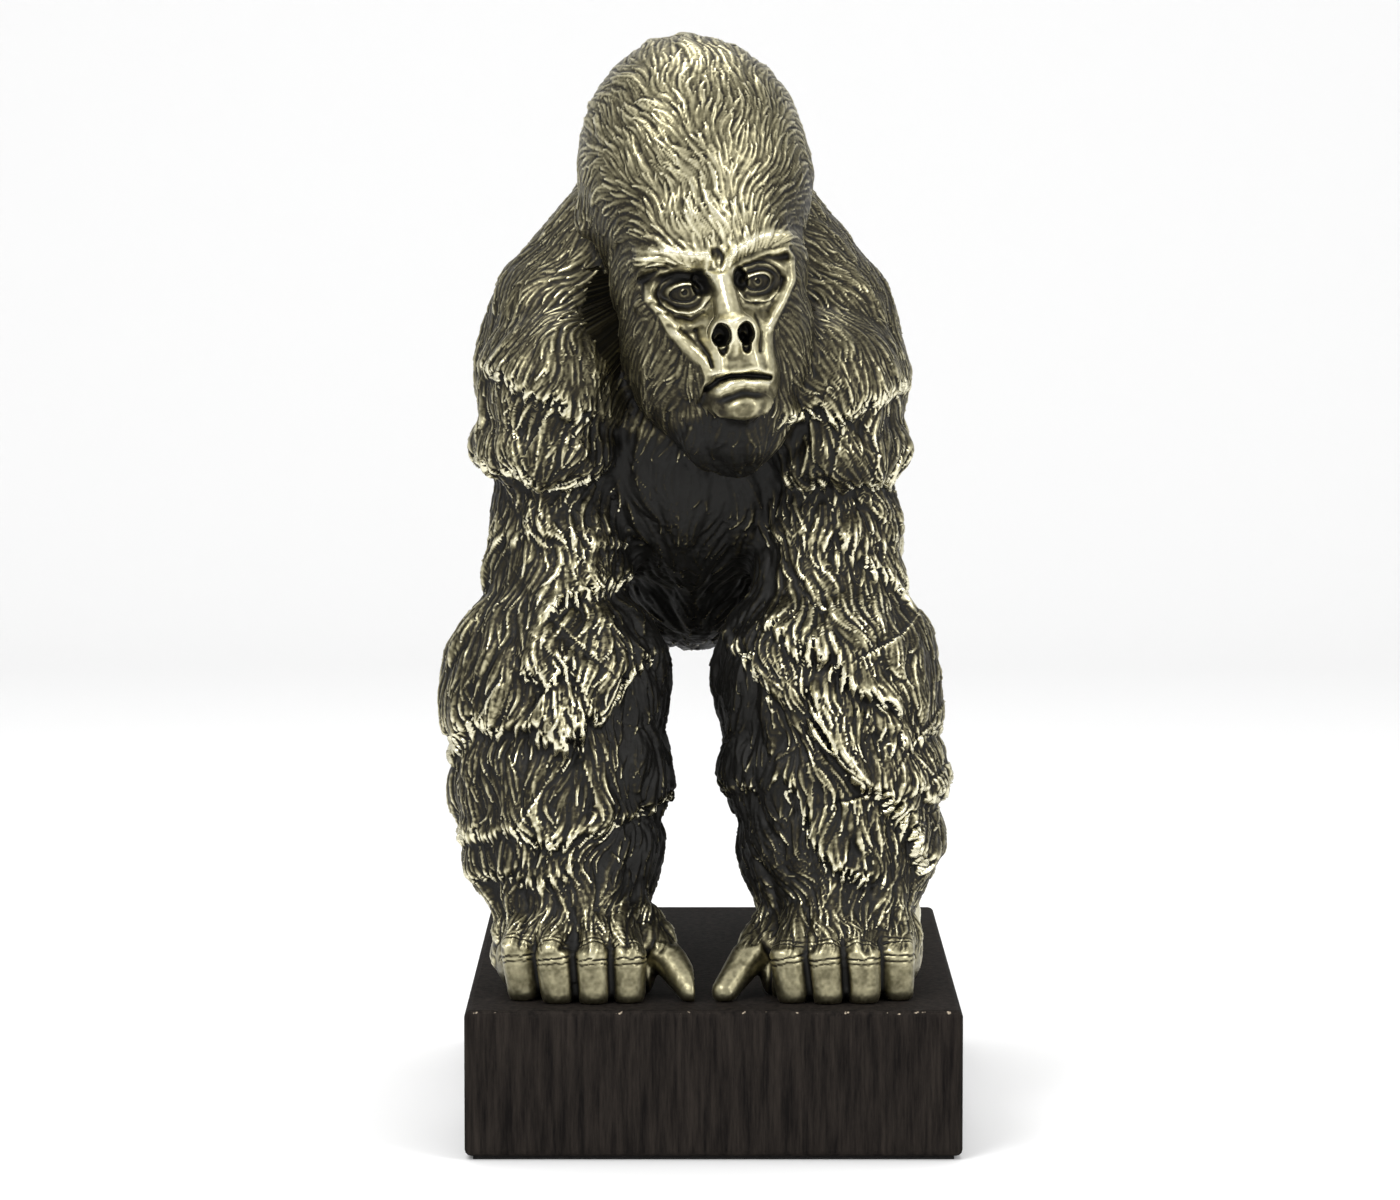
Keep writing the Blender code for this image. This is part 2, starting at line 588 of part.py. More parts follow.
def hem_paths():
    """Lower edges of the coat's tiers on the shoulders and arms: rise, then x and height, in mm."""
    return (
        (2.2, ((-83, 227), (-73, 221), (-61, 217), (-50, 210), (-41, 213), (-31, 211))),
        (2.6, ((-89, 195), (-81, 191), (-72, 191), (-64, 187), (-55, 186), (-45, 189))),
        (1.4, ((-80, 164), (-71, 166), (-62, 164), (-53, 166), (-42, 164), (-28, 163))),
        (3.6, ((-59, 140), (-50, 145), (-41, 146), (-32, 150))),
        (3.0, ((-98, 84), (-87, 99), (-78, 94), (-70, 98), (-60, 92), (-52, 91))),
        (3.6, ((-52, 91), (-45, 100), (-38, 102), (-33, 113), (-25, 121))),
        (2.6, ((-68, 116), (-60, 113), (-52, 119))),
        (2.8, ((-92, 55), (-72, 59), (-63, 54), (-55, 55), (-47, 59), (-40, 57), (-32, 64), (-19, 68))),
        (1.8, ((-90, 41), (-74, 43), (-63, 41), (-54, 45))),
        (2.2, ((30, 211), (38, 213), (46, 210), (53, 213), (61, 217), (69, 221))),
        (2.6, ((28, 187), (34, 183), (42, 187), (50, 185), (56, 187), (63, 185), (73, 196))),
        (1.2, ((24, 166), (37, 164), (50, 166), (58, 164), (68, 163))),
        (2.2, ((48, 164), (59, 154), (71, 144))),
        (3.0, ((8, 126), (15, 118), (23, 107))),
        (3.0, ((23, 132), (30, 125), (36, 123))),
        (3.6, ((37, 127), (46, 120), (50, 112), (64, 105))),
        (4.4, ((36, 109), (37, 96), (43, 87), (50, 78), (58, 74), (65, 68), (70, 61), (75, 48))),
        (3.2, ((26, 76), (32, 68), (35, 56), (43, 46), (57, 43))),
        (2.2, ((60, 96), (70, 91), (88, 96))),
        (2.6, ((73, 74), (80, 70), (92, 75))),
        (2.2, ((-2, 76), (5, 72), (12, 75))),
    )


def hems(points):
    """How far the tiers of the coat stand out: most just over a hem, and sunk just under it."""
    flat = points[:, (0, 2)] - np.array((0, BLOCK_TOP))
    relief = np.zeros(len(points))
    for rise, path in hem_paths():
        path = np.array(path) * MM
        nearest = np.full(len(points), 1.0)
        above = np.zeros(len(points))
        for start, end in zip(path[:-1], path[1:]):
            run = (end - start) / np.linalg.norm(end - start)
            offset = flat - start
            share = np.clip(offset @ run, 0, np.linalg.norm(end - start))
            apart = np.linalg.norm(offset - share[:, None] * run, axis=1)
            over = offset @ np.array((-run[1], run[0]))
            closer = apart < nearest
            nearest = np.where(closer, apart, nearest)
            above = np.where(closer, over, above)
        past = np.sqrt(np.maximum(nearest**2 - above**2, 0))
        on_tier = smooth_step(above, -2.2 * MM, 2.2 * MM)
        tier = on_tier * np.exp(-np.maximum(above, 0) / HEM_REACH)
        shadow = (1 - on_tier) * np.exp(np.minimum(above, 0) / (0.5 * HEM_REACH))
        relief += rise * MM * (tier - 0.6 * shadow) * (1 - smooth_step(past, 0, HEM_FADE))
    facing = 1 - smooth_step(points[:, 1], -62 * MM, -30 * MM)
    return relief * facing * ~on_head(points)


def modelled(skin):
    """Draws the face, the finger creases and the fur out of the blocked skin."""
    count = len(skin.vertices)
    points = np.empty(count * 3, dtype=np.float32)
    skin.vertices.foreach_get("co", points)
    points = points.reshape(-1, 3).astype(float)
    normals = np.empty(count * 3, dtype=np.float32)
    skin.vertices.foreach_get("normal", normals)
    normals = normals.reshape(-1, 3).astype(float)
    local = in_head(points)
    forward = np.array(head_frame())[:3, :3] @ np.array((0, -1, 0))
    faces_forward = smooth_step(normals @ forward, 0.0, 0.35) * (local[:, 1] < -20 * MM)
    nearby = faces_forward * (np.abs(local[:, 2]) < BEARD_DROP)
    furred = np.clip(1 - face_share(local) - bare_share(points), 0, 1)
    points += normals * ((tufts(points, normals) + hems(points)) * furred)[:, None]
    points += forward * (face_relief(local[:, (0, 2)]) * nearby)[:, None]
    skin.vertices.foreach_set("co", points.astype(np.float32).ravel())
    skin.update()
    return 1 - np.maximum(face_share(local), bare_share(points) * (points[:, 1] < 0))


def casting(finish):
    skin = blocked_out()
    plain = modelled(skin)
    made = bpy.data.objects.new("gorilla_casting", skin)
    bpy.context.scene.collection.objects.link(made)
    thinning = made.vertex_groups.new(name="plain")
    for level in range(11):
        chosen = np.nonzero(np.round(plain * 10) == level)[0]
        thinning.add(chosen.tolist(), max(level, 1) / 10, "REPLACE")
    fewer = made.modifiers.new("fewer_faces", "DECIMATE")
    skin.calc_loop_triangles()
    fewer.ratio = CASTING_TRIANGLES / len(skin.loop_triangles)
    fewer.vertex_group = "plain"
    fewer.vertex_group_factor = FACE_DETAIL
    fewer.use_collapse_triangulate = True
    lean = evaluated(made)
    made.modifiers.clear()
    made.vertex_groups.clear()
    made.data = lean
    lean.materials.append(finish)
    bm = bmesh.new()
    box(bm, BLOCK_WIDTH * 2, BLOCK_DEPTH * 2, SOLE - 60 * MM, SOLE)
    cut(made, "soles", cutter("sole_cutter", bm))
    bm = bmesh.new()
    for x, y in screw_places():
        cylinder(bm, SCREW_DIAMETER / 2 + THREAD_GAP, SOLE - 5 * MM, SOLE + SCREW_BITE + TIP_CLEARANCE, x, y)
    cut(made, "screw_holes", cutter("casting_hole_cutter", bm))
    return made


def screw_places():
    """X and Y of the screws, one in each hand and foot."""
    places = [hand_place(side) for side in SIDES] + [foot_place(side) for side in SIDES]
    return [(place.x, place.y) for place in places]


def block(finish):
    bm = bmesh.new()
    box(bm, BLOCK_WIDTH, BLOCK_DEPTH, BLOCK_BOTTOM, BLOCK_TOP)
    bmesh.ops.bevel(
        bm, geom=bm.edges[:], offset=BLOCK_EDGE_ROUND, segments=EDGE_SEGMENTS, profile=0.5, affect="EDGES"
    )
    made = object_from("plinth_block", bm, finish)
    bm = bmesh.new()
    for x, y in screw_places():
        cylinder(bm, SCREW_DIAMETER / 2 + SHANK_CLEARANCE, BLOCK_BOTTOM - 5 * MM, BLOCK_TOP + 5 * MM, x, y)
    cut(made, "clearance_holes", cutter("block_hole_cutter", bm))
    bm = bmesh.new()
    for x, y in screw_places():
        radius = WASHER_DIAMETER / 2 + COUNTERBORE_CLEARANCE
        cylinder(bm, radius, BLOCK_BOTTOM - 5 * MM, BLOCK_BOTTOM + COUNTERBORE_DEPTH, x, y)
    cut(made, "counterbores", cutter("counterbore_cutter", bm))
    return made


def screw(name, x, y, finish):
    seat = BLOCK_BOTTOM + COUNTERBORE_DEPTH - FACE_GAP - WASHER_THICKNESS - FACE_GAP
    bm = bmesh.new()
    profile = (
        (0, seat - SCREW_HEAD_HEIGHT),
        (SCREW_HEAD_DIAMETER / 2 - 0.6 * MM, seat - SCREW_HEAD_HEIGHT),
        (SCREW_HEAD_DIAMETER / 2, seat - SCREW_HEAD_HEIGHT + 0.6 * MM),
        (SCREW_HEAD_DIAMETER / 2, seat),
        (SCREW_DIAMETER / 2, seat),
        (SCREW_DIAMETER / 2, SOLE + SCREW_BITE - 1 * MM),
        (SCREW_DIAMETER / 2 - 1 * MM, SOLE + SCREW_BITE),
        (0, SOLE + SCREW_BITE),
    )
    points = [bm.verts.new((x + radius, y, height)) for radius, height in profile]
    edges = [bm.edges.new(pair) for pair in zip(points[:-1], points[1:])]
    axis = {"cent": (x, y, 0), "axis": (0, 0, 1), "angle": math.tau}
    bmesh.ops.spin(bm, geom=points + edges, steps=ROUND_SIDES, use_merge=True, **axis)
    bmesh.ops.remove_doubles(bm, verts=bm.verts, dist=0.01 * MM)
    bmesh.ops.recalc_face_normals(bm, faces=bm.faces)
    made = object_from(name, bm, finish)
    bm = bmesh.new()
    socket_top = seat - SCREW_HEAD_HEIGHT + SOCKET_DEPTH
    radius = SOCKET_ACROSS_FLATS / math.sqrt(3)
    cylinder(bm, radius, seat - SCREW_HEAD_HEIGHT - 2 * MM, socket_top, x, y, sides=6)
    cut(made, "hex_socket", cutter(name + "_socket_cutter", bm))
    return made


def washer(name, x, y, finish):
    top = BLOCK_BOTTOM + COUNTERBORE_DEPTH - FACE_GAP
    bm = bmesh.new()
    cylinder(bm, WASHER_DIAMETER / 2, top - WASHER_THICKNESS, top, x, y)
    made = object_from(name, bm, finish)
    bm = bmesh.new()
    hole = SCREW_DIAMETER / 2 + THREAD_GAP
    cylinder(bm, hole, top - WASHER_THICKNESS - 2 * MM, top + 2 * MM, x, y)
    cut(made, "hole", cutter(name + "_hole_cutter", bm))
    return made


def underlay(finish):
    bm = bmesh.new()
    width, depth = BLOCK_WIDTH - 2 * BAIZE_INSET, BLOCK_DEPTH - 2 * BAIZE_INSET
    box(bm, width, depth, 0, BAIZE_THICKNESS)
    return object_from("baize_underlay", bm, finish)


def main():
    for old in list(bpy.data.objects):
        bpy.data.objects.remove(old)
    brass = material("antique_brass", (0.30, 0.25, 0.13), 0.38, 1.0)
    ebonised = material("ebonised_wood", (0.02, 0.017, 0.015), 0.35, 0.0)
    zinc = material("zinc_plated_steel", (0.62, 0.62, 0.60), 0.35, 1.0)
    baize = material("black_baize", (0.02, 0.02, 0.02), 0.95, 0.0)
    casting(brass)
    block(ebonised)
    limbs = ("right_hand", "left_hand", "right_foot", "left_foot")
    for limb_name, (x, y) in zip(limbs, screw_places()):
        screw("fixing_screw_" + limb_name, x, y, zinc)
        washer("fixing_washer_" + limb_name, x, y, zinc)
    underlay(baize)


main()
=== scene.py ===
import math

import bpy
import numpy as np
from mathutils import Euler, Matrix, Vector
from mathutils.kdtree import KDTree


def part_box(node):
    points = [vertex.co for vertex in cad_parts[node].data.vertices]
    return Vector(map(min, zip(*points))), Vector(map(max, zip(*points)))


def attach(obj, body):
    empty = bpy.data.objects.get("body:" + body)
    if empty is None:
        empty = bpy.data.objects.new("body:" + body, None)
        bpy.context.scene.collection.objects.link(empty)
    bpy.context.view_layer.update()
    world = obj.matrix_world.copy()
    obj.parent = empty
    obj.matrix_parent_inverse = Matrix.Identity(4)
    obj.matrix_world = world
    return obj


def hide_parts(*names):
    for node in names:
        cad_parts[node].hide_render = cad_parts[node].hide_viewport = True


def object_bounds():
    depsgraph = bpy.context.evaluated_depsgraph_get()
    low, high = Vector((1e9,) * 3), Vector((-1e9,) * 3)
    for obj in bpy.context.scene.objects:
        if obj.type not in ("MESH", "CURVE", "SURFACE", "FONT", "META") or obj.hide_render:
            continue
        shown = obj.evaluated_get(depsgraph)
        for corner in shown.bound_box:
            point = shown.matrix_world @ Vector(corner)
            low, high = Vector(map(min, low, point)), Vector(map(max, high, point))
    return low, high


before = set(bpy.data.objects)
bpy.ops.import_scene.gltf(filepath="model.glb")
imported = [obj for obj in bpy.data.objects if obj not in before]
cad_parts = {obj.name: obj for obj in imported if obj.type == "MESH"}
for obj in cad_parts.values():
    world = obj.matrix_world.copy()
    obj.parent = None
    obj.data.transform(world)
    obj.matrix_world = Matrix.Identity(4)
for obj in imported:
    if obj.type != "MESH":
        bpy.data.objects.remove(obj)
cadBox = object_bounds()
print("frame loaded")

# Everything is modelled in millimetres and turned to metres once, when a piece is made.
# The gorilla looks along -Y, its right arm is at -X, and Z is up.
mm = 0.001
sides = (-1, 1)  # the animal's right, then its left
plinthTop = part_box("plinth_block")[1].z / mm
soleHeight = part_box("gorilla_casting")[0].z / mm


# Small sums, each over one row per point


def smoothStep(value, low, high):
    share = np.clip((value - low) / (high - low), 0, 1)
    return share * share * (3 - 2 * share)


def unit(rows):
    return rows / (np.linalg.norm(rows, axis=1, keepdims=True) + 1e-9)


def swung(ways, normals, angle):
    # directions along the skin, turned about its normal
    return ways * np.cos(angle)[:, None] + np.cross(normals, ways) * np.sin(angle)[:, None]


def gridNoise(points, size, seed):
    # smooth value noise from -1 to 1, with lumps of the given size in mm
    cells = points / size + 1000.0
    low = np.floor(cells).astype(np.int64)
    part = cells - low
    part = part * part * (3 - 2 * part)
    total = np.zeros(len(points))
    for corner in range(8):
        step = np.array([corner & 1, corner >> 1 & 1, corner >> 2 & 1])
        key = (low + step) @ np.array([73856093, 19349663, 83492791]) + seed * 7919
        key = (key ^ (key >> 13)) * 1274126177 & 0x7FFFFFFF
        weight = np.prod(np.where(step, part, 1 - part), axis=1)
        total += weight * (key % 20011 / 10005.0 - 1)
    return total


def distanceToPath(flat, path):
    nearest = np.full(len(flat), 1e6)
    for start, end in zip(path[:-1], path[1:]):
        start, end = np.array(start, float), np.array(end, float)
        run = end - start
        share = np.clip((flat - start) @ run / (run @ run), 0, 1)
        nearest = np.minimum(nearest, np.linalg.norm(flat - start - share[:, None] * run, axis=1))
    return nearest


def insideOutline(flat, outline):
    # distance from a closed outline, positive inside it
    inside = np.zeros(len(flat), bool)
    for (x0, z0), (x1, z1) in zip(outline, outline[1:] + outline[:1]):
        crosses = (z0 > flat[:, 1]) != (z1 > flat[:, 1])
        inside ^= crosses & (flat[:, 0] < (x1 - x0) * (flat[:, 1] - z0) / (z1 - z0 + 1e-9) + x0)
    away = distanceToPath(flat, outline + outline[:1])
    return np.where(inside, away, -away)


# The blocking: balls and tapered limbs, grouped by the part of the animal they belong to

stance = {
    "groundMidline": -2.0,
    "shoulderMidline": -8.0,
    "armSpread": 50.0,
    "handY": -86.0,
    "legSpread": 50.0,
    "footY": 72.0,
}
trunkSizes = {
    "shoulderHeight": 226.0,
    "shoulderY": -42.0,
    "shoulderRadius": 33.0,
    "humpHeight": 288.0,
    "humpY": -10.0,
    "backRadius": 44.0,
    "chestHalfWidth": 62.0,
    "chestHeight": 202.0,
    "bellyHalfWidth": 60.0,
    "bellyHalfDepth": 78.0,
    "bellyBottom": 116.0,
    "bellyY": 32.0,
    "rumpRadius": 49.0,
    "rumpHeight": 176.0,
    "rumpY": 84.0,
}
armSizes = {
    "upperArmRadius": 25.0,
    "elbowHeight": 118.0,
    "elbowY": -54.0,
    "forearmRadius": 36.0,
    "sleeveDrop": 38.0,
    "cuffDrop": 66.0,
    "wristHeight": 44.0,
    "wristRadius": 31.0,
    "handHalfWidth": 31.0,
    "fingerRadius": 6.6,
    "fingerPitch": 13.4,
    "knuckleHeight": 21.0,
    "fingerReach": 31.0,
    "thumbRadius": 6.0,
    "thumbSpread": 43.0,
    "thumbReach": 22.0,
}
legSizes = {
    "thighRadius": 33.0,
    "kneeHeight": 96.0,
    "kneeY": 56.0,
    "shinRadius": 25.0,
    "ankleHeight": 22.0,
    "footLength": 66.0,
    "footHalfWidth": 19.0,
    "toeRadius": 6.6,
}
headSizes = {
    "x": -3.5,
    "y": -64.0,
    "eyeHeight": 258.4,
    "turn": 9.0,  # degrees to the animal's left
    "tilt": -8.5,
    "skullHalfWidth": 43.5,
    "skullHalfDepth": 47.0,
    "skullHalfHeight": 52.0,
    "crownHeight": 93.0,
    "cheekHalfWidth": 36.0,
    "beardDrop": 68.0,
    "muzzleReach": 57.0,
    "earRadius": 8.0,
}


def midline(height):
    lean = min(max(height / armSizes["elbowHeight"], 0.0), 1.0)
    return stance["groundMidline"] + (stance["shoulderMidline"] - stance["groundMidline"]) * lean


def at(x, y, height):
    return Vector((midline(height) + x, y, plinthTop + height))


def unitSphere():
    rings, segments = 24, 40
    points = [(0, 0, 1)]
    for ring in range(1, rings):
        polar = math.pi * ring / rings
        for segment in range(segments):
            turn = math.tau * segment / segments
            across = math.sin(polar)
            points.append((across * math.cos(turn), across * math.sin(turn), math.cos(polar)))
    points.append((0, 0, -1))
    faces = []
    for segment in range(segments):
        beside = (segment + 1) % segments
        faces.append((0, 1 + segment, 1 + beside))
        for ring in range(rings - 2):
            upper, lower = 1 + ring * segments, 1 + (ring + 1) * segments
            faces.append((upper + segment, lower + segment, lower + beside, upper + beside))
        last = 1 + (rings - 2) * segments
        faces.append((last + segment, len(points) - 1, last + beside))
    return np.array(points), faces


spherePoints, sphereFaces = unitSphere()


def ball(forms, centre, radii, turn=None):
    turn = np.array(turn or Matrix.Identity(3))
    forms.append((spherePoints * np.array(radii)) @ turn.T + np.array(centre))


def limb(forms, start, end, startRadius, endRadius):
    turn = np.array((end - start).to_track_quat("Z", "Y").to_matrix())
    turned = spherePoints @ turn.T
    pastMiddle = spherePoints[:, 2:] > 0.01
    upper, lower = np.array(end) + turned * endRadius, np.array(start) + turned * startRadius
    forms.append(np.where(pastMiddle, upper, lower))


def makeTrunk(forms):
    s = trunkSizes
    hump = at(0, s["humpY"], s["humpHeight"] - s["backRadius"])
    loin = at(2, s["rumpY"] - 34, (s["humpHeight"] + s["rumpHeight"]) / 2 - 22)
    rump = at(3, s["rumpY"], s["rumpHeight"])
    bellyHalfHeight = (s["rumpHeight"] + 34 - s["bellyBottom"]) / 2
    limb(forms, hump, loin, s["backRadius"], s["backRadius"])
    limb(forms, loin, rump, s["backRadius"], s["rumpRadius"])
    ball(forms, at(0, s["shoulderY"] + 22, s["chestHeight"]), (s["chestHalfWidth"], 56, 62))
    belly = at(3, s["bellyY"], s["bellyBottom"] + bellyHalfHeight)
    ball(forms, belly, (s["bellyHalfWidth"], s["bellyHalfDepth"], bellyHalfHeight))
    for side in sides:
        cheek = at(side * 22, s["rumpY"] + 4, s["rumpHeight"] - 8)
        ball(forms, cheek, (s["rumpRadius"] * 0.78, s["rumpRadius"] * 0.9, s["rumpRadius"]))


def makeShoulders(forms):
    s = trunkSizes
    radius = s["shoulderRadius"] - 1
    for side in sides:
        joint = at(side * (stance["armSpread"] - 4), s["shoulderY"], s["shoulderHeight"])
        crest = joint + Vector((0, 4, 17))
        neck = at(side * 20, s["humpY"] - 16, s["humpHeight"] - 8)
        limb(forms, neck, crest, 28, radius)
        limb(forms, crest, joint + Vector((side * 3, 0, 0)), radius, radius)
        ball(forms, joint + Vector((side * 2, -6, -4)), (32, 42, 34))
        ball(forms, joint + Vector((side * 4, -6, -27)), (31, 38, 20))


def makeArm(forms, side):
    s = armSizes
    spread, low, y = stance["armSpread"], s["elbowHeight"], s["elbowY"]
    joint = at(side * (spread - 3), trunkSizes["shoulderY"], trunkSizes["shoulderHeight"] - 14)
    elbow = at(side * spread, y, low + 10)
    forearm = at(side * spread, y - 4, low - 6)
    sleeve = at(side * spread, y - 8, low - s["sleeveDrop"])
    cuff = at(side * (spread + 1), y - 11, low - s["cuffDrop"])
    wrist = at(side * spread, stance["handY"] + 16, s["wristHeight"] - 4)
    radius = s["forearmRadius"]
    limb(forms, joint, elbow, s["upperArmRadius"], s["upperArmRadius"] + 5)
    limb(forms, forearm, wrist, radius, s["wristRadius"])
    ball(forms, forearm, (radius + 7, radius, radius + 7))
    ball(forms, sleeve, (radius + 5, radius - 1, radius + 2))
    ball(forms, cuff, (radius + 2, radius - 2, radius - 4))


def handPlace(side):
    return at(side * (stance["armSpread"] - 1), stance["handY"], 0)


def fingerPlaces(side):
    # root, knuckle and tip of each finger, with its radius, from the first finger outwards
    s = armSizes
    palm = handPlace(side)
    for finger in range(4):
        across = side * (finger - 1.5) * s["fingerPitch"]
        back = (2, 0, 1, 8)[finger]
        thick = s["fingerRadius"] * (0.95, 1.06, 1.04, 0.92)[finger]
        root = palm + Vector((across * 0.84, -11 + back, s["knuckleHeight"] + 8))
        knuckle = palm + Vector((across, -s["fingerReach"] + thick + back, s["knuckleHeight"] - thick * 0.6))
        tip = palm + Vector((across * 0.96 + 1, -s["fingerReach"] + thick * 0.8 + back, thick * 0.6))
        yield across, thick, root, knuckle, tip


def thumbPlaces(side):
    # root, joint and tip
    s = armSizes
    palm = handPlace(side)
    yield palm + Vector((-side * s["thumbSpread"] * 0.52, 4, 25))
    yield palm + Vector((-side * s["thumbSpread"] * 0.82, -s["thumbReach"] * 0.5, 13))
    yield palm + Vector((-side * s["thumbSpread"], -s["thumbReach"], s["thumbRadius"] * 0.6))


def makeHand(forms, side):
    s = armSizes
    palm = handPlace(side)
    wrist = palm + Vector((side, 16, s["wristHeight"]))
    ball(forms, palm + Vector((0, 6, 16)), (s["handHalfWidth"], 31, 25))
    limb(forms, wrist, palm + Vector((0, -2, 21)), s["wristRadius"], 20)
    for across, thick, root, knuckle, tip in fingerPlaces(side):
        limb(forms, root, knuckle, thick * 1.05, thick * 1.08)
        limb(forms, knuckle, tip, thick * 1.08, thick * 0.98)
        limb(forms, tip, palm + Vector((across * 0.9, -6, 9)), thick * 0.9, thick)
    thumbRoot, thumbJoint, thumbTip = thumbPlaces(side)
    limb(forms, thumbRoot, thumbJoint, s["thumbRadius"] * 1.6, s["thumbRadius"] * 1.08)
    limb(forms, thumbJoint, thumbTip, s["thumbRadius"] * 1.08, s["thumbRadius"] * 0.82)
    ball(forms, palm + Vector((-side * 17, -6, 7)), (13, 13, 11))


def makeHindLeg(forms, side):
    s = legSizes
    sole = at(side * stance["legSpread"] + 3, stance["footY"], 0)
    hip = at(side * (stance["legSpread"] - 9) + 3, trunkSizes["rumpY"] - 4, trunkSizes["rumpHeight"] - 26)
    knee = at(side * (stance["legSpread"] + 1) + 3, s["kneeY"], s["kneeHeight"])
    ankle = sole + Vector((0, 16, s["ankleHeight"] + 10))
    limb(forms, hip, knee, s["thighRadius"] + 6, s["thighRadius"] - 3)
    limb(forms, knee, ankle, s["thighRadius"] - 5, s["shinRadius"])
    heel = sole + Vector((0, s["footLength"] * 0.36, 14))
    ballOfFoot = sole + Vector((side * 2, -s["footLength"] * 0.26, 11))
    limb(forms, heel, ballOfFoot, s["footHalfWidth"] - 3, s["footHalfWidth"] - 5)
    ball(forms, ballOfFoot, (s["footHalfWidth"] + 4, 18, 13))
    for toe in range(4):
        across = side * (toe - 1.0) * 11.4
        root = ballOfFoot + Vector((across * 0.8, -6, -2))
        knuckle = ballOfFoot + Vector((across, -18 + toe * 2.4, 0))
        limb(forms, root, knuckle, s["toeRadius"], s["toeRadius"])
        limb(forms, knuckle, knuckle + Vector((0, -5, -7)), s["toeRadius"], s["toeRadius"] * 0.85)
    toeRoot = ballOfFoot + Vector((-side * 14, 4, -2))
    limb(forms, toeRoot, toeRoot + Vector((-side * 6, -15, -4)), s["toeRadius"] * 1.3, s["toeRadius"])


def makeHeadFrame():
    turn = Euler((0, math.radians(headSizes["tilt"]), math.radians(headSizes["turn"]))).to_matrix().to_4x4()
    place = (headSizes["x"], headSizes["y"], plinthTop + headSizes["eyeHeight"])
    return Matrix.Translation(place) @ turn


headFrame = makeHeadFrame()
headTurn = np.array(headFrame)[:3, :3]
headInverse = np.array(headFrame.inverted())


def inHead(points):
    return points @ headInverse[:3, :3].T + headInverse[:3, 3]


def makeHead(forms):
    s = headSizes
    turn = headFrame.to_3x3()

    def lump(x, y, z, radii):
        ball(forms, headFrame @ Vector((x, y, z)), radii, turn)

    def roll(start, end, startRadius, endRadius):
        limb(forms, headFrame @ Vector(start), headFrame @ Vector(end), startRadius, endRadius)

    muzzle = -s["muzzleReach"]
    skull = (s["skullHalfWidth"], s["skullHalfDepth"], s["skullHalfHeight"])
    lump(3, 2, s["crownHeight"] - s["skullHalfHeight"], skull)
    lump(1, -12, 27, (36, 35.5, 28))
    nape = at(0, trunkSizes["humpY"] - 4, trunkSizes["humpHeight"] - 40)
    limb(forms, headFrame @ Vector((2, 10, 24)), nape, 38, 38)
    lump(1, -10, 6, (37, 36, 36))
    roll((0, -20, -26), (0, -20, -s["beardDrop"] + 17), 30, 17)
    lump(0, -22, -s["beardDrop"] + 23, (26, 24, 21))
    lump(0, muzzle + 23, -26, (20, 21, 25))
    lump(0, muzzle + 8, -41, (12, 8, 8))
    for side in sides:
        lump(side * (s["cheekHalfWidth"] - 18), -14, -18, (18, 29, 34))
        lump(side * (s["skullHalfWidth"] - 2) + 2, 5, 32, (4, 6, s["earRadius"]))
        roll((side * 6, -41, 14), (side * 25, -33, 15), 6, 5.5)
        roll((side * 27, -32, -1), (side * 14, -41, -17), 5, 6)
    roll((0, -43, 6), (0, muzzle + 6, -10), 4.5, 5)
    lump(0, muzzle + 5, -15, (9.5, 7, 8))


def makeForms():
    groups = {name: [] for name in ("trunk", "head", "rightArm", "leftArm", "hindLegs")}
    makeTrunk(groups["trunk"])
    makeShoulders(groups["trunk"])
    makeHead(groups["head"])
    for side, name in zip(sides, ("rightArm", "leftArm")):
        makeArm(groups[name], side)
        makeHand(groups[name], side)
        makeHindLeg(groups["hindLegs"], side)
    return groups


formGroups = makeForms()


def addObject(name, points, faces):
    mesh = bpy.data.meshes.new(name)
    mesh.from_pydata(points, [], faces)
    made = bpy.data.objects.new(name, mesh)
    bpy.context.scene.collection.objects.link(made)
    return made


def evaluatedMesh(source):
    graph = bpy.context.evaluated_depsgraph_get()
    mesh = bpy.data.meshes.new_from_object(source.evaluated_get(graph))
    bpy.data.objects.remove(source)
    return mesh


def readMesh(mesh):
    # points, normals and four-sided faces of a mesh, as arrays
    points = np.empty(len(mesh.vertices) * 3, np.float32)
    mesh.vertices.foreach_get("co", points)
    normals = np.empty(len(mesh.vertices) * 3, np.float32)
    mesh.vertices.foreach_get("normal", normals)
    corners = np.empty(len(mesh.loops), np.int32)
    mesh.loops.foreach_get("vertex_index", corners)
    bpy.data.meshes.remove(mesh)
    return points.reshape(-1, 3).astype(float), normals.reshape(-1, 3).astype(float), corners.reshape(-1, 4)


softening = {"voxel": 2.2, "rounds": 6}  # the blocking's joins are smoothed as the solid's are


def skinOver(groups, voxel, share=1.0):
    # one closed skin of quads round the named groups of forms; a small share leaves its joins crisp
    forms = [form for name in groups for form in formGroups[name]]
    faces = []
    for index in range(len(forms)):
        first = index * len(spherePoints)
        faces.extend([corner + first for corner in face] for face in sphereFaces)
    rough = addObject("blocking", np.concatenate(forms), faces)
    joined = rough.modifiers.new("join", "REMESH")
    joined.mode = "VOXEL"
    joined.voxel_size = voxel
    soft = rough.modifiers.new("soften", "SMOOTH")
    soft.factor = 0.5
    soft.iterations = round(share * softening["rounds"] * (softening["voxel"] / voxel) ** 2)
    return readMesh(evaluatedMesh(rough))


# Where the skin is bare. x and z are in the head's own frame, in mm

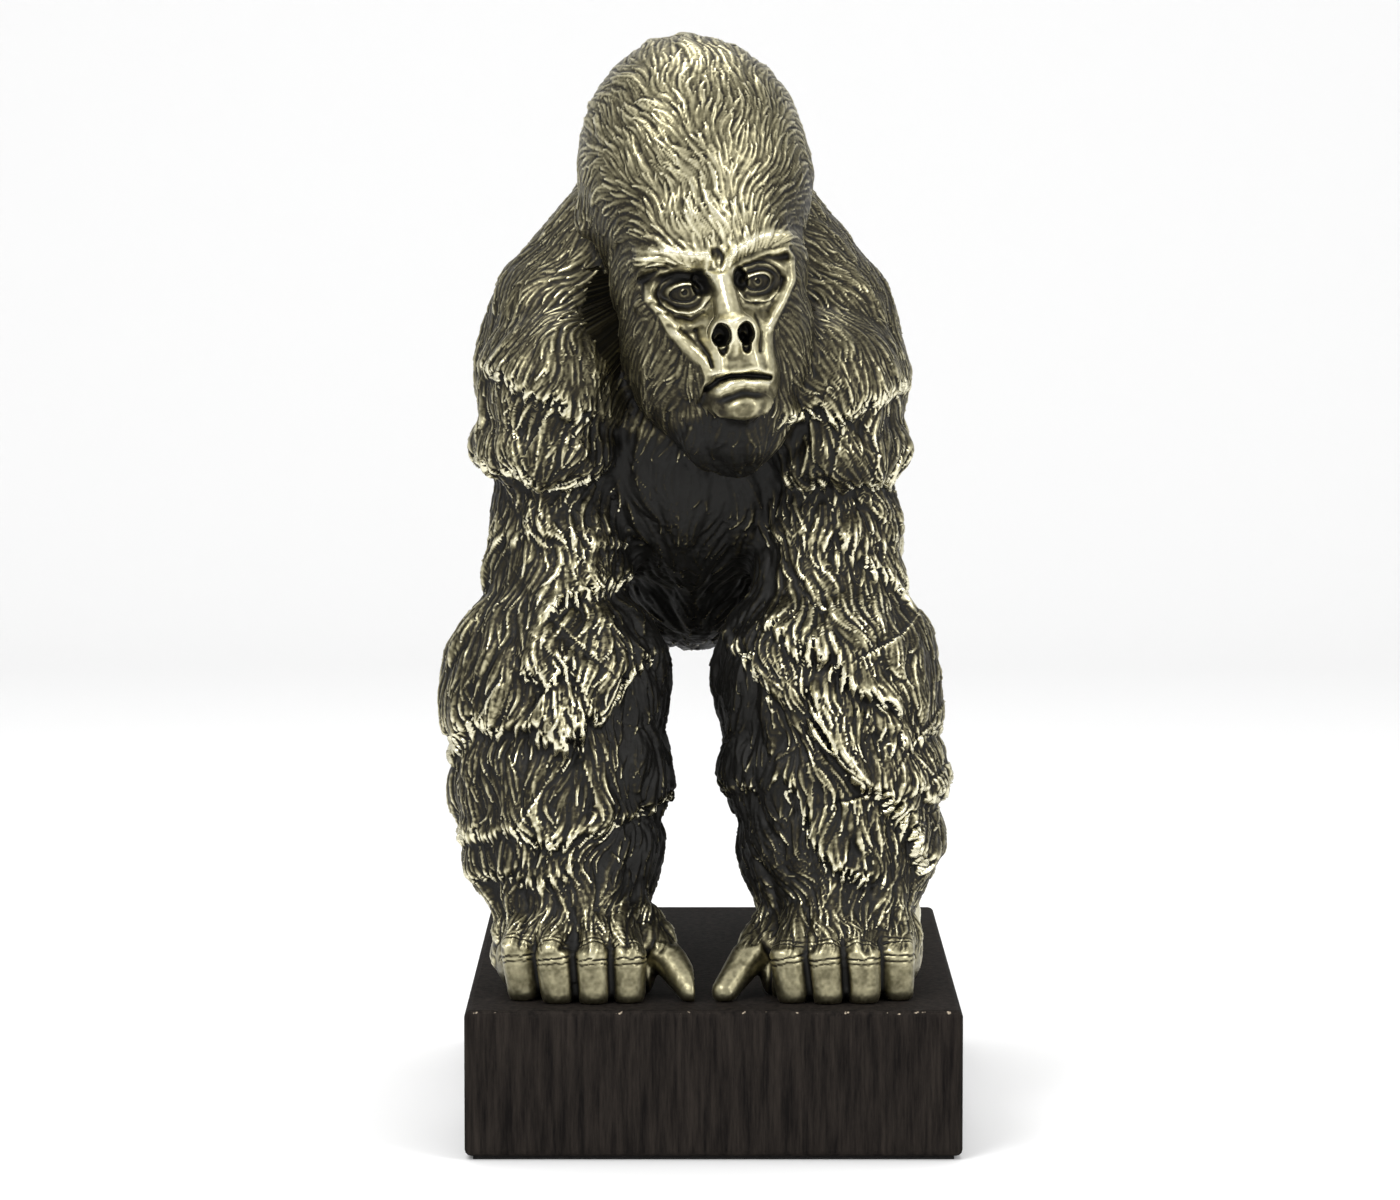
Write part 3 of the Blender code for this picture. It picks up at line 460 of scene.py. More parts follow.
faceOutline = [
    (-27.0, 6.5), (-28.0, 1.0), (-24.5, -6.0), (-22.5, -13.0), (-18.5, -19.5), (-14.0, -25.0), (-13.0, -30.0),
    (-15.0, -38.5), (-10.0, -45.0), (-1.0, -47.5), (8.5, -46.5), (14.5, -40.5), (15.5, -32.0), (15.0, -24.0),
    (16.5, -16.0), (22.0, -9.5), (28.5, -1.0), (30.5, 7.5), (27.5, 12.0), (18.0, 11.5), (9.0, 10.0),
    (1.0, 7.0), (-6.0, 8.0), (-14.0, 10.5), (-21.0, 10.5),
]


def faceShare(local):
    share = smoothStep(insideOutline(local[:, (0, 2)], faceOutline), -0.8, 1.2)
    return share * (local[:, 1] < -22)


def handShare(points):
    # 1 on the fingers, with a ragged hem of fur just above the knuckles
    height = points[:, 2] - plinthTop + 2.5 * gridNoise(points, 4.0, 3)
    front = 1 - smoothStep(points[:, 1], stance["handY"] - 12, stance["handY"] + 4)
    return 1 - smoothStep(height, 7 + 10 * front, 10 + 13 * front)


def toeShare(points):
    height = points[:, 2] - plinthTop + 2.0 * gridNoise(points, 5.0, 4)
    return (1 - smoothStep(height, 14, 18)) * (points[:, 1] > 0) * (points[:, 1] < stance["footY"] - 8)


def bareShare(points):
    hands = handShare(points) * (points[:, 1] < stance["handY"] + 30)
    return np.maximum(np.maximum(faceShare(inHead(points)), hands), toeShare(points))


# The face: each ridge and hollow is a path or a spot in the head's frame, in mm

faceRidges = (
    # path, half width, height
    (((-26.0, 15.0), (-19.3, 16.8), (-12.5, 14.8), (-6.5, 13.2)), 4.2, 2.4),
    (((6.5, 12.6), (12.0, 15.6), (20.0, 16.6), (28.7, 14.6)), 4.2, 2.4),
    (((-23.5, 18.4), (-17.0, 17.6), (-11.0, 15.0), (-4.5, 14.4), (-2.0, 11.0)), 1.5, 0.9),
    (((3.0, 9.5), (5.6, 13.2), (10.7, 16.4), (19.5, 18.0), (28.0, 17.0)), 1.5, 0.9),
    (((-22.4, 12.4), (-18.9, 13.0), (-14.7, 11.4), (-10.4, 9.6)), 1.4, 1.0),
    (((21.3, 9.6), (25.5, 10.8), (28.5, 8.7)), 1.4, 1.0),
    (((-27.0, 7.2), (-20.2, 7.8), (-13.7, 7.8), (-7.4, 6.4), (-6.0, 1.5)), 2.0, -2.3),
    (((5.8, 2.0), (7.4, 7.6), (12.5, 8.8), (18.3, 9.0), (26.1, 8.4)), 2.0, -2.3),
    (((-0.6, 10.0), (-0.4, 2.0), (-0.4, -8.0)), 4.1, 2.1),
    (((-3.4, 4.6), (-3.7, -0.5), (-3.9, -6.0)), 1.1, 0.5),
    (((2.3, 4.6), (2.9, -1.3), (3.0, -6.0)), 1.1, 0.5),
    (((-20.4, -1.4), (-17.3, -5.0), (-12.9, -6.6), (-8.3, -5.0), (-6.4, -1.5)), 1.1, 0.8),
    (((-18.5, -6.9), (-12.8, -8.5), (-8.0, -6.6)), 0.8, -0.6),
    (((5.6, -1.9), (7.0, -6.1), (11.8, -8.2), (16.6, -6.9), (19.6, -4.2)), 1.1, 0.8),
    (((8.0, -3.4), (11.4, -6.2), (16.6, -4.9)), 0.8, -0.5),
    (((-25.4, 1.6), (-23.4, -2.7), (-22.0, -7.4), (-19.0, -12.4)), 2.1, 1.5),
    (((-26.0, -0.6), (-23.0, -1.6)), 0.8, -0.7),
    (((-24.0, -4.6), (-21.0, -5.0)), 0.8, -0.8),
    (((-21.9, -5.0), (-17.8, -9.0), (-12.6, -10.2), (-8.8, -8.6)), 1.5, 1.0),
    (((-21.4, -9.2), (-17.0, -12.6), (-12.6, -12.4), (-10.0, -11.2)), 0.9, -0.7),
    (((-19.6, -12.4), (-16.2, -17.6), (-12.6, -22.6), (-10.9, -27.4)), 2.5, 2.2),
    (((-17.6, -11.2), (-13.6, -15.8), (-11.2, -21.0)), 0.8, -0.6),
    (((27.7, 5.4), (25.6, -1.2), (21.6, -6.5), (17.0, -10.6), (14.6, -15.2)), 2.1, 1.9),
    (((23.0, 0.6), (20.0, -3.2), (15.0, -9.6)), 0.8, -0.6),
    (((13.4, -14.0), (12.6, -20.1), (12.2, -25.3), (12.8, -30.6)), 2.4, 1.7),
    (((9.9, -10.5), (10.4, -16.5), (8.6, -22.8)), 0.9, -1.2),
    (((-2.6, -10.4), (-5.4, -9.3), (-8.4, -11.4), (-9.3, -15.0), (-7.9, -19.0), (-6.6, -23.4), (-7.0, -27.6)),
     2.2, 2.2),
    (((1.8, -10.4), (4.8, -9.2), (7.7, -10.8), (8.7, -14.6), (7.4, -19.0), (6.2, -23.0), (6.8, -27.8)),
     2.2, 2.2),
    (((-12.0, -12.6), (-12.0, -16.0), (-9.8, -21.5), (-9.4, -25.5)), 0.9, -1.2),
    (((-0.4, -11.0), (-0.4, -16.0), (-0.5, -22.0)), 1.5, 1.1),
    (((-5.5, -25.6), (0.6, -26.0), (7.0, -26.6)), 4.4, 1.2),
    (((-13.6, -39.0), (-11.2, -34.2)), 1.7, -2.8),
    (((-11.4, -34.0), (-8.0, -30.8), (-3.1, -30.2), (3.9, -31.0), (11.4, -33.0)), 0.95, -2.8),
    (((-9.2, -28.6), (-3.0, -28.2), (4.0, -28.8), (10.6, -30.4)), 1.2, 0.8),
    (((-8.0, -34.6), (-3.4, -33.4), (1.2, -33.2), (6.3, -34.0), (9.8, -35.2)), 2.1, 2.7),
    (((-8.6, -38.0), (0.3, -37.6), (8.5, -38.6)), 1.5, -1.0),
    (((11.8, -34.0), (13.1, -37.6), (12.0, -41.5), (8.3, -45.0)), 1.7, 1.0),
    (((-12.2, -41.0), (-9.4, -45.0)), 1.5, 0.8),
)
faceSpots = (
    # centre, radii, height; a hollow where the height is negative
    ((-13.8, 2.0), (10.5, 7.8), -5.2),
    ((13.8, 1.6), (10.0, 7.2), -5.2),
    ((-7.4, 3.8), (3.4, 5.0), -2.4),
    ((7.0, 3.2), (3.2, 4.6), -2.4),
    ((-0.5, 12.4), (2.6, 4.0), -1.2),
    ((-4.8, -15.0), (3.3, 4.4), -7.0),
    ((4.0, -15.3), (3.1, 4.3), -7.0),
    ((-4.7, -18.8), (2.0, 3.8), -2.2),
    ((3.8, -19.2), (1.9, 3.8), -2.2),
    ((-0.3, -42.0), (7.6, 5.4), 1.6),
)
eyes = (
    # centre, and radii of the opening between the lids
    ((-13.5, 0.9), (5.0, 3.0)),
    ((13.6, 0.8), (4.8, 2.8)),
)


def eyeRelief(flat, centre, radii):
    # a ball behind two lids: the upper one thick, and lying over the top of the iris
    offset = flat - np.array(centre)
    away = np.hypot(offset[:, 0] / radii[0], offset[:, 1] / radii[1])
    out = (away - 1) * sum(radii) / 2
    upper = smoothStep(offset[:, 1], -1.5, 1.5)
    relief = 3.0 * np.sqrt(np.clip(1 - (np.hypot(offset[:, 0], offset[:, 1] * 1.25) / 9.0) ** 2, 0, 1))
    relief += (0.35 + 0.45 * upper) * np.exp(-(((out - 0.8) / (0.7 + 0.3 * upper)) ** 2))
    relief -= 0.6 * (1 - smoothStep(out, -0.25, 0.25))
    relief -= 0.35 * np.exp(-(((out + 0.1) / 0.3) ** 2))
    relief -= 0.25 * upper * np.exp(-(((out - 2.6) / 0.6) ** 2))
    between = 1 - smoothStep(out, -0.7, -0.2)
    iris = offset - np.array((0.0, 0.45))
    fromIris = np.linalg.norm(iris, axis=1)
    relief -= 0.12 * np.exp(-(((fromIris - 2.35) / 0.28) ** 2)) * between
    relief -= 0.8 * (1 - smoothStep(fromIris, 0.55, 1.25)) * between
    glint = np.linalg.norm(iris - np.array((-0.5, 0.85)), axis=1)
    return relief + 0.5 * (1 - smoothStep(glint, 0.25, 0.75)) * between


def faceRelief(flat):
    high = np.column_stack([flat, flat[:, 0] * 0])
    wobble = np.column_stack([gridNoise(high, 4.0, 11), gridNoise(high, 4.0, 12)])
    flat = flat + 0.35 * wobble
    relief = np.zeros(len(flat))
    for path, halfWidth, height in faceRidges:
        relief += height * np.exp(-((distanceToPath(flat, path) / halfWidth) ** 2))
    for centre, radii, height in faceSpots:
        away = np.linalg.norm((flat - np.array(centre)) / np.array(radii), axis=1)
        relief += height * (1 - smoothStep(away, 0.55, 1.12))
    for centre, radii in eyes:
        relief += eyeRelief(flat, centre, radii)
    return relief + 0.10 * gridNoise(high, 2.6, 13) + 0.05 * gridNoise(high, 1.1, 14)


def shapeFace(points, normals):
    # how far each point of the face stands forward of its blocking
    local = inHead(points)
    forward = headTurn @ np.array((0, -1, 0))
    facing = smoothStep(normals @ forward, 0.0, 0.35) * smoothStep(-local[:, 1], 20, 26)
    facing *= 1 - smoothStep(np.abs(local[:, 2] + 12), 42, 52)
    chosen = facing > 0
    relief = np.zeros(len(points))
    relief[chosen] = faceRelief(local[chosen][:, (0, 2)]) * facing[chosen]
    return forward, relief


# Fingers: parted by deep grooves, with a few folds over each knuckle

fingerDetail = {
    "grooveDepth": 1.5,
    "grooveWidth": 1.8,
    "foldDepth": 0.5,
    "foldSpacing": 1.9,
    "foldReach": 3.6,  # how far from the knuckle the folds go
    "height": 34.0,  # of the part of the hand that is carved so
}


def distanceToSegment(points, start, end):
    # how far off each point is, and how far along the segment
    start, run = np.array(start), np.array(end) - np.array(start)
    share = np.clip((points - start) @ run / (run @ run), 0, 1)
    return np.linalg.norm(points - start - share[:, None] * run, axis=1), share * np.linalg.norm(run)


def fingerRelief(points):
    # each point's nearest two fingers give the groove between them, and the nearest its folds
    d = fingerDetail
    relief = np.zeros(len(points))
    height = points[:, 2] - plinthTop
    low = (height < d["height"]) & (points[:, 1] < stance["handY"] + 14)
    for side in sides:
        near = np.nonzero((side * (points[:, 0] - midline(0)) > 0) & low)[0]
        if not len(near):
            continue
        here = points[near]
        apart, fromKnuckle = [], []
        for _, _, root, knuckle, tip in fingerPlaces(side):
            upper, alongUpper = distanceToSegment(here, root, knuckle)
            lower, alongLower = distanceToSegment(here, knuckle, tip)
            apart.append(np.minimum(upper, lower))
            fromKnuckle.append(np.where(upper < lower, (knuckle - root).length - alongUpper, -alongLower))
        _, thumbJoint, thumbTip = thumbPlaces(side)
        apart.append(distanceToSegment(here, thumbJoint, thumbTip)[0] + 1)
        fromKnuckle.append(np.full(len(near), 20.0))  # too far for folds
        apart, fromKnuckle = np.array(apart), np.array(fromKnuckle)
        order = np.argsort(apart, axis=0)
        rows = np.arange(len(near))
        gap = apart[order[1], rows] - apart[order[0], rows]
        groove = -d["grooveDepth"] * np.exp(-((gap / d["grooveWidth"]) ** 2))
        groove *= 1 - 0.75 * smoothStep(height[near], 12, 26)
        bend = fromKnuckle[order[0], rows] + 0.5 * gridNoise(here, 3.0, 21) + 0.25 * gridNoise(here, 1.4, 22)
        wave = np.abs(((bend / d["foldSpacing"]) % 1) - 0.5) * 2
        folds = smoothStep(1 - wave, 0.5, 1.0) * np.exp(-((bend / d["foldReach"]) ** 4))
        relief[near] = groove - d["foldDepth"] * folds * (gap > 1.2)
    return relief


# The coat. Guides say which way it is combed, in the head's frame and over the body

headGuides = (
    ((0, -46, 22), (0, 0.3, 1)),
    ((16, -42, 24), (0.5, 0.3, 0.8)),
    ((32, -30, 22), (0.8, 0.5, 0.2)),
    ((0, -30, 66), (0, 0.6, 0.8)),
    ((26, -20, 62), (0.3, 0.7, 0.5)),
    ((0, 10, 88), (0, 1, 0)),
    ((0, 42, 60), (0, 0.5, -0.9)),
    ((42, -8, 40), (0.1, 0.4, -0.9)),
    ((36, -24, 4), (0.3, 0.5, -0.8)),
    ((30, -30, -24), (0.3, 0.2, -1)),
    ((16, -36, -50), (0.2, -0.1, -1)),
)
bodyGuides = (
    ((0, -40, 150), (0, -0.2, -1)),
    ((36, -50, 262), (0.8, -0.3, -0.5)),
    ((62, -44, 244), (0.6, -0.2, -0.8)),
    ((80, -42, 216), (0.2, -0.1, -1)),
    ((50, -82, 214), (0.3, -0.3, -0.9)),
    ((56, 4, 230), (0.4, 0.4, -0.9)),
    ((50, -84, 170), (0.1, -0.1, -1)),
    ((50, -92, 110), (0.2, -0.1, -1)),
    ((88, -56, 110), (0, 0, -1)),
    ((18, -60, 100), (-0.1, 0, -1)),
    ((50, -24, 110), (0, 0.2, -1)),
    ((50, -104, 40), (0.1, -0.6, -0.8)),
    ((0, 20, 282), (0, 0.9, -0.4)),
    ((0, 96, 222), (0, 0.6, -0.8)),
    ((62, 30, 190), (0.1, 0.5, -0.8)),
    ((0, 40, 118), (0, 1, 0)),
    ((42, 124, 160), (0, 0.1, -1)),
    ((62, 70, 120), (0, 0, -1)),
    ((50, 84, 60), (0, 0.1, -1)),
    ((50, 40, 20), (0, -0.9, -0.3)),
)


def makeGuides():
    guides = []
    for side in sides:
        for (x, y, z), (wayX, wayY, wayZ) in headGuides:
            way = headFrame.to_3x3() @ Vector((side * wayX, wayY, wayZ))
            guides.append((headFrame @ Vector((side * x, y, z)), way))
        for (x, y, z), (wayX, wayY, wayZ) in bodyGuides:
            guides.append((at(side * x, y, z), Vector((side * wayX, wayY, wayZ))))
    places = np.array([place for place, _ in guides])
    return places, np.array([way.normalized() for _, way in guides])


def furWay(points, normals, guides, reach=24.0):
    # the guides' directions, blended by nearness, laid along the skin and waved a little
    places, ways = guides
    way = np.zeros_like(points)
    total = np.zeros(len(points))
    apart = [((points - place) ** 2).sum(axis=1) for place in places]
    nearest = np.min(apart, axis=0)
    for distance, guide in zip(apart, ways):
        weight = np.exp(-(distance - nearest) / reach**2)
        way += weight[:, None] * guide
        total += weight
    way = unit(way - (way * normals).sum(axis=1, keepdims=True) * normals)
    wave = 0.32 * np.sin(points @ np.array((0.150, 0.060, 0.095)))
    wave += 0.22 * np.sin(points @ np.array((-0.090, 0.170, 0.210)))
    return swung(way, normals, wave)


hemShape = {
    "reach": 20.0,  # how far up a tier its thickening goes
    "fade": 8.0,  # past the hem's ends
    "edge": 1.9,  # half the height of the step
    "tooth": 6.0,  # how unevenly the locks end
}
hemPaths = (
    # lower edges of the coat's tiers on shoulders and arms: rise, then x and height over the plinth
    (2.2, ((-83, 227), (-73, 221), (-61, 217), (-50, 210), (-41, 213), (-31, 211))),
    (2.6, ((-89, 195), (-81, 191), (-72, 191), (-64, 187), (-55, 186), (-45, 189))),
    (1.4, ((-80, 164), (-71, 166), (-62, 164), (-53, 166), (-42, 164), (-28, 163))),
    (3.6, ((-59, 140), (-50, 145), (-41, 146), (-32, 150))),
    (3.0, ((-98, 84), (-87, 99), (-78, 94), (-70, 98), (-60, 92), (-52, 91))),
    (3.6, ((-52, 91), (-45, 100), (-38, 102), (-33, 113), (-25, 121))),
    (2.6, ((-68, 116), (-60, 113), (-52, 119))),
    (2.8, ((-92, 55), (-72, 59), (-63, 54), (-55, 55), (-47, 59), (-40, 57), (-32, 64), (-19, 68))),
    (1.8, ((-90, 41), (-74, 43), (-63, 41), (-54, 45))),
    (2.2, ((30, 211), (38, 213), (46, 210), (53, 213), (61, 217), (69, 221))),
    (2.6, ((28, 187), (34, 183), (42, 187), (50, 185), (56, 187), (63, 185), (73, 196))),
    (1.2, ((24, 166), (37, 164), (50, 166), (58, 164), (68, 163))),
    (2.2, ((48, 164), (59, 154), (71, 144))),
    (3.0, ((8, 126), (15, 118), (23, 107))),
    (3.0, ((23, 132), (30, 125), (36, 123))),
    (3.6, ((37, 127), (46, 120), (50, 112), (64, 105))),
    (4.4, ((36, 109), (37, 96), (43, 87), (50, 78), (58, 74), (65, 68), (70, 61), (75, 48))),
    (3.2, ((26, 76), (32, 68), (35, 56), (43, 46), (57, 43))),
    (2.2, ((60, 96), (70, 91), (88, 96))),
    (2.6, ((73, 74), (80, 70), (92, 75))),
    (2.2, ((-2, 76), (5, 72), (12, 75))),
)


def headCloseness(points):
    # 1 on the head, 0 off it
    local = inHead(points)
    near = 1 - smoothStep(np.linalg.norm(local - np.array((0, 0, 20)), axis=1), 75, 81)
    return near * smoothStep(local[:, 2], -70, -66)


def hems(points, lock):
    # how far the tiers stand out: most just over a hem, and sunk just under it. Each lock ends
    # at its own height
    flat = points[:, (0, 2)] - np.array((0, plinthTop))
    ragged = hemShape["tooth"] * (scattered(np.column_stack([lock.astype(np.int64)] * 3), 9) - 0.5)
    relief = np.zeros(len(points))
    for rise, path in hemPaths:
        path = np.array(path, float)
        nearest = np.full(len(points), 1e6)
        above = np.zeros(len(points))
        for start, end in zip(path[:-1], path[1:]):
            length = np.linalg.norm(end - start)
            run = (end - start) / length
            offset = flat - start
            share = np.clip(offset @ run, 0, length)
            apart = np.linalg.norm(offset - share[:, None] * run, axis=1)
            closer = apart < nearest
            nearest = np.where(closer, apart, nearest)
            above = np.where(closer, offset @ np.array((-run[1], run[0])), above)
        past = np.sqrt(np.maximum(nearest**2 - above**2, 0))
        above = above + ragged
        onTier = smoothStep(above, -hemShape["edge"], hemShape["edge"] * 1.5)
        tier = onTier * np.exp(-np.maximum(above, 0) / hemShape["reach"])
        shadow = (1 - onTier) * np.exp(np.minimum(above, 0) / (0.5 * hemShape["reach"]))
        relief += rise * (tier - 0.6 * shadow) * (1 - smoothStep(past, 0, hemShape["fade"]))
    facing = 1 - smoothStep(points[:, 1], -62, -30)
    return relief * facing * (1 - headCloseness(points))


tuftSizes = {
    "length": 36.0,
    "width": 14.0,
    "depth": 4.0,
    "pitch": 17.0,
    "headShare": 0.36,  # how much smaller they are on the head
    "steps": 16,
}
searchCells = {"tuft": 9.0, "lock": 2.7}  # mm, no smaller than the widest half of each


def scattered(cells, number):
    # an even spread of values from 0 to 1, one for each cell of space
    key = cells @ np.array((73856093, 19349663, 83492791)) + number * 7919
    key = (key ^ (key >> 13)) & 0xFFFFFFF
    return (key * 1274126177 & 0x7FFFFFFF) % 20011 / 20010


def nearestOn(base, targets):
    # the index of the skin's nearest point to each target, and how far off it is
    found = [base["tree"].find(target) for target in targets]
    return np.array([number for _, number, _ in found]), np.array([apart for _, _, apart in found])


def ontoSkin(here, base, index):
    normal = base["normals"][index]
    return here - ((here - base["points"][index]) * normal).sum(axis=1, keepdims=True) * normal


def traceTufts(base):
    # the large locks, rooted near the middles of the same cells as the solid's
    t = tuftSizes
    points = base["points"]
    cells = np.unique(np.floor(points / t["pitch"]).astype(int), axis=0)
    shift = np.column_stack([scattered(cells, number) for number in range(3)]) * 0.5 - 0.25
    index, apart = nearestOn(base, (cells + 0.5 + shift) * t["pitch"])
    close = apart < t["pitch"] * 0.42
    index = index[close]
    size = (0.75 + 0.5 * scattered(cells, 3))[close]
    depth = (t["depth"] * (0.6 + 0.5 * scattered(cells, 4)))[close]
    onHead = headCloseness(points[index]) > 0.5
    size = size * np.where(onHead, t["headShare"] ** 0.5, 1)
    depth = depth * np.where(onHead, t["headShare"], 1)
    kept = {"place": [], "half": [], "rise": [], "normal": []}
    here = points[index]
    for number in range(t["steps"] + 1):
        share = number / t["steps"]
        kept["place"].append(here)
        kept["normal"].append(base["normals"][index])
        fall = math.sqrt(max(1 - max(share - 0.7, 0) / 0.3, 0))
        kept["rise"].append(depth * (0.25 + 0.75 * share) * fall)
        kept["half"].append(t["width"] * size * 0.5 * math.sin(math.pi * (0.12 + 0.8 * share) ** 0.9))
        here = here + base["combed"][index] * (t["length"] * size / t["steps"])[:, None]
        index = nearestOn(base, here)[0]
        here = ontoSkin(here, base, index)
    return {name: np.concatenate(rows) for name, rows in kept.items()}


furZones = {
    # width, length and depth of one lock of the coat, in mm
    "head": (2.0, 9.5, 1.0),
    "beard": (2.5, 14.0, 1.2),
    "shoulder": (2.9, 17.0, 1.6),
    "arm": (3.0, 19.0, 1.7),
    "hand": (2.1, 13.0, 0.9),
    "body": (3.4, 20.0, 1.5),
}


def zoneSizes(points):
    # width, length and depth of the locks at each point, blended where zones meet
    local = inHead(points)
    height = points[:, 2] - plinthTop
    nearHead = 1 - smoothStep(np.linalg.norm(local - np.array((0, -6, 18)), axis=1), 62, 78)
    low = 1 - smoothStep(local[:, 2], -30, -8)
    front = 1 - smoothStep(points[:, 1], -22, -2)
    shares = {
        "head": nearHead * (1 - low),
        "beard": nearHead * low,
        "shoulder": (1 - nearHead) * front * smoothStep(height, 186, 200),
        "hand": (1 - nearHead) * front * (1 - smoothStep(height, 34, 48)),
    }
    shares["arm"] = (1 - nearHead) * front - shares["shoulder"] - shares["hand"]
    shares["body"] = (1 - nearHead) * (1 - front)
    return sum(share[:, None] * np.array(furZones[name]) for name, share in shares.items())


def scatteredRoots(points, spacing, rng, levels=6):
    # one starting point in each cell, where a cell is as wide as the spacing there
    chosen = []
    edges = np.geomspace(spacing.min() * 0.999, spacing.max() * 1.001, levels + 1)
    for low, high in zip(edges[:-1], edges[1:]):
        here = rng.permutation(np.nonzero((spacing >= low) & (spacing < high))[0])
        if len(here):
            cells = np.floor(points[here] / math.sqrt(low * high)).astype(int)
            chosen.append(here[np.unique(cells, axis=0, return_index=True)[1]])
    return np.concatenate(chosen)


coatLayers = (
    # share of the zone's width, length and depth, then spacing, steps along a lock, and curl
    ((1.0, 1.0, 1.0), 0.66, 12, 0.55),
    ((0.62, 0.9, 0.5), 0.62, 10, 0.4),
)


def traceLocks(base, sizes, layer, rng):
    # follows the combed way over the skin from each root, and keeps what is met on the way
    shares, closeness, steps, curl = layer
    width, length, depth = (sizes * np.array(shares)).T
    roots = scatteredRoots(base["points"], np.sqrt(width * length) * closeness, rng)
    roots = roots[bareShare(base["points"][roots]) < 0.3]
    count = len(roots)
    scale = rng.uniform(0.8, 1.3, count)
    width, length, depth = width[roots] * rng.uniform(0.8, 1.25, count), length[roots] * scale, depth[roots]
    depth = depth * rng.uniform(0.65, 1.15, count)
    index = roots.copy()
    here = base["points"][roots] + rng.uniform(-0.8, 0.8, (count, 3))
    lean = rng.normal(0, 0.07, count)
    bend = rng.normal(0, curl, count)
    step = length / steps
    kept = {"place": [], "way": [], "normal": [], "share": []}
    for number in range(steps + 1):
        share = number / steps
        normal, way = base["normals"][index], base["way"][index]
        here = ontoSkin(here, base, index)
        along = swung(way, normal, lean + bend * (share - 0.4))
        kept["place"].append(here)
        kept["way"].append(along)
        kept["normal"].append(normal)
        kept["share"].append(np.full(count, share))
        here = here + along * step[:, None]
        index = nearestOn(base, here)[0]
    samples = {name: np.concatenate(rows) for name, rows in kept.items()}
    repeats = steps + 1
    samples["lock"] = np.tile(np.arange(count), repeats)
    samples["reach"] = np.tile(step, repeats) * 0.62
    share = samples["share"]
    taper = np.sin(math.pi * np.clip(0.16 + 0.8 * share, 0, 1)) ** 0.8
    samples["half"] = np.tile(width, repeats) * 0.60 * np.maximum(taper, 0.2)
    samples["rise"] = np.tile(depth, repeats) * (0.4 + 0.6 * share)
    return samples


def nearSamples(points, samples, cell):
    # gives pairs of a point and a sample nearby, a batch for each neighbouring cell of space
    def keyOf(cells):
        return (cells[:, 0] * 1024 + cells[:, 1]) * 1024 + cells[:, 2]

    origin = points.min(axis=0) - 4 * cell
    inBox = (samples["place"] > origin) & (samples["place"] < points.max(axis=0) + 2 * cell)
    inReach = np.nonzero(inBox.all(axis=1))[0]
    sampleKeys = keyOf(np.floor((samples["place"][inReach] - origin) / cell).astype(np.int64))
    order = np.argsort(sampleKeys, kind="stable")
    sampleKeys, inReach = sampleKeys[order], inReach[order]
    cells = np.floor((points - origin) / cell).astype(np.int64)
    sortedPoints = np.argsort(keyOf(cells), kind="stable")
    cells = cells[sortedPoints]
    for shift in np.ndindex(3, 3, 3):
        keys = keyOf(cells + np.array(shift) - 1)
        first = np.searchsorted(sampleKeys, keys, "left")
        count = np.searchsorted(sampleKeys, keys, "right") - first
        some = count > 0
        first, count, owners = first[some], count[some], sortedPoints[some]
        if not len(owners):
            continue
        point = np.repeat(owners, count)
        sample = np.arange(count.sum()) - np.repeat(np.cumsum(count) - count, count) + np.repeat(first, count)
        sample = inReach[sample]
        offset = points[point] - samples["place"][sample]
        close = (offset**2).sum(axis=1) < (cell * 1.05) ** 2
        yield point[close], sample[close], offset[close]


def tuftHeight(points, normals, tufts):
    # height of the highest tuft over each point
    height = np.zeros(len(points))
    for point, sample, offset in nearSamples(points, tufts, searchCells["tuft"]):
        away = (offset**2).sum(axis=1) / tufts["half"][sample] ** 2
        fits = (away < 1) & ((normals[point] * tufts["normal"][sample]).sum(axis=1) > 0)
        np.maximum.at(height, point[fits], tufts["rise"][sample[fits]] * (1 - away[fits]))
    return height


def lockHeight(points, normals, samples):
    # height of the highest lock over each point, and that lock's number
    height, lock = np.zeros((2, len(points)))
    for point, sample, offset in nearSamples(points, samples, searchCells["lock"]):
        way, normal = samples["way"][sample], samples["normal"][sample]
        forward = (offset * way).sum(axis=1)
        aside = (offset * np.cross(normal, way)).sum(axis=1) / samples["half"][sample]
        fits = (np.abs(forward) < samples["reach"][sample]) & (np.abs(aside) < 1)
        fits &= (normals[point] * normal).sum(axis=1) > 0.2
        point, sample, aside = point[fits], sample[fits], aside[fits]
        rise = samples["rise"][sample] * (1 - aside**2) ** 0.75
        rank = np.argsort(rise, kind="stable")
        best = np.full(len(points), -1)
        best[point[rank]] = rank
        owners = np.nonzero(best >= 0)[0]
        owners = owners[rise[best[owners]] > height[owners]]
        height[owners] = rise[best[owners]]
        lock[owners] = samples["lock"][sample[best[owners]]]
    return height, lock


def makeCoat():
    # traces all the locks and tufts over the whole animal, so that they run on from piece to piece
    points, normals, _ = skinOver(formGroups, softening["voxel"])
    tree = KDTree(len(points))
    for index, point in enumerate(points):
        tree.insert(point, index)
    tree.balance()
    base = {"points": points, "normals": normals, "tree": tree}
    base["combed"] = furWay(points, normals, makeGuides())
    stray = 0.22 * gridNoise(points, 16.0, 5)
    base["way"] = swung(base["combed"], normals, stray)
    rng = np.random.default_rng(20)
    over, under = (traceLocks(base, zoneSizes(points), layer, rng) for layer in coatLayers)
    under["lock"] += over["lock"].max() + 1
    locks = {name: np.concatenate([rows, under[name]]) for name, rows in over.items()}
    tufts = traceTufts(base)
    tuftCount = len(tufts["rise"]) // (tuftSizes["steps"] + 1)
    print("coat traced:", int(locks["lock"].max()) + 1, "locks,", tuftCount, "tufts")
    return locks, tufts


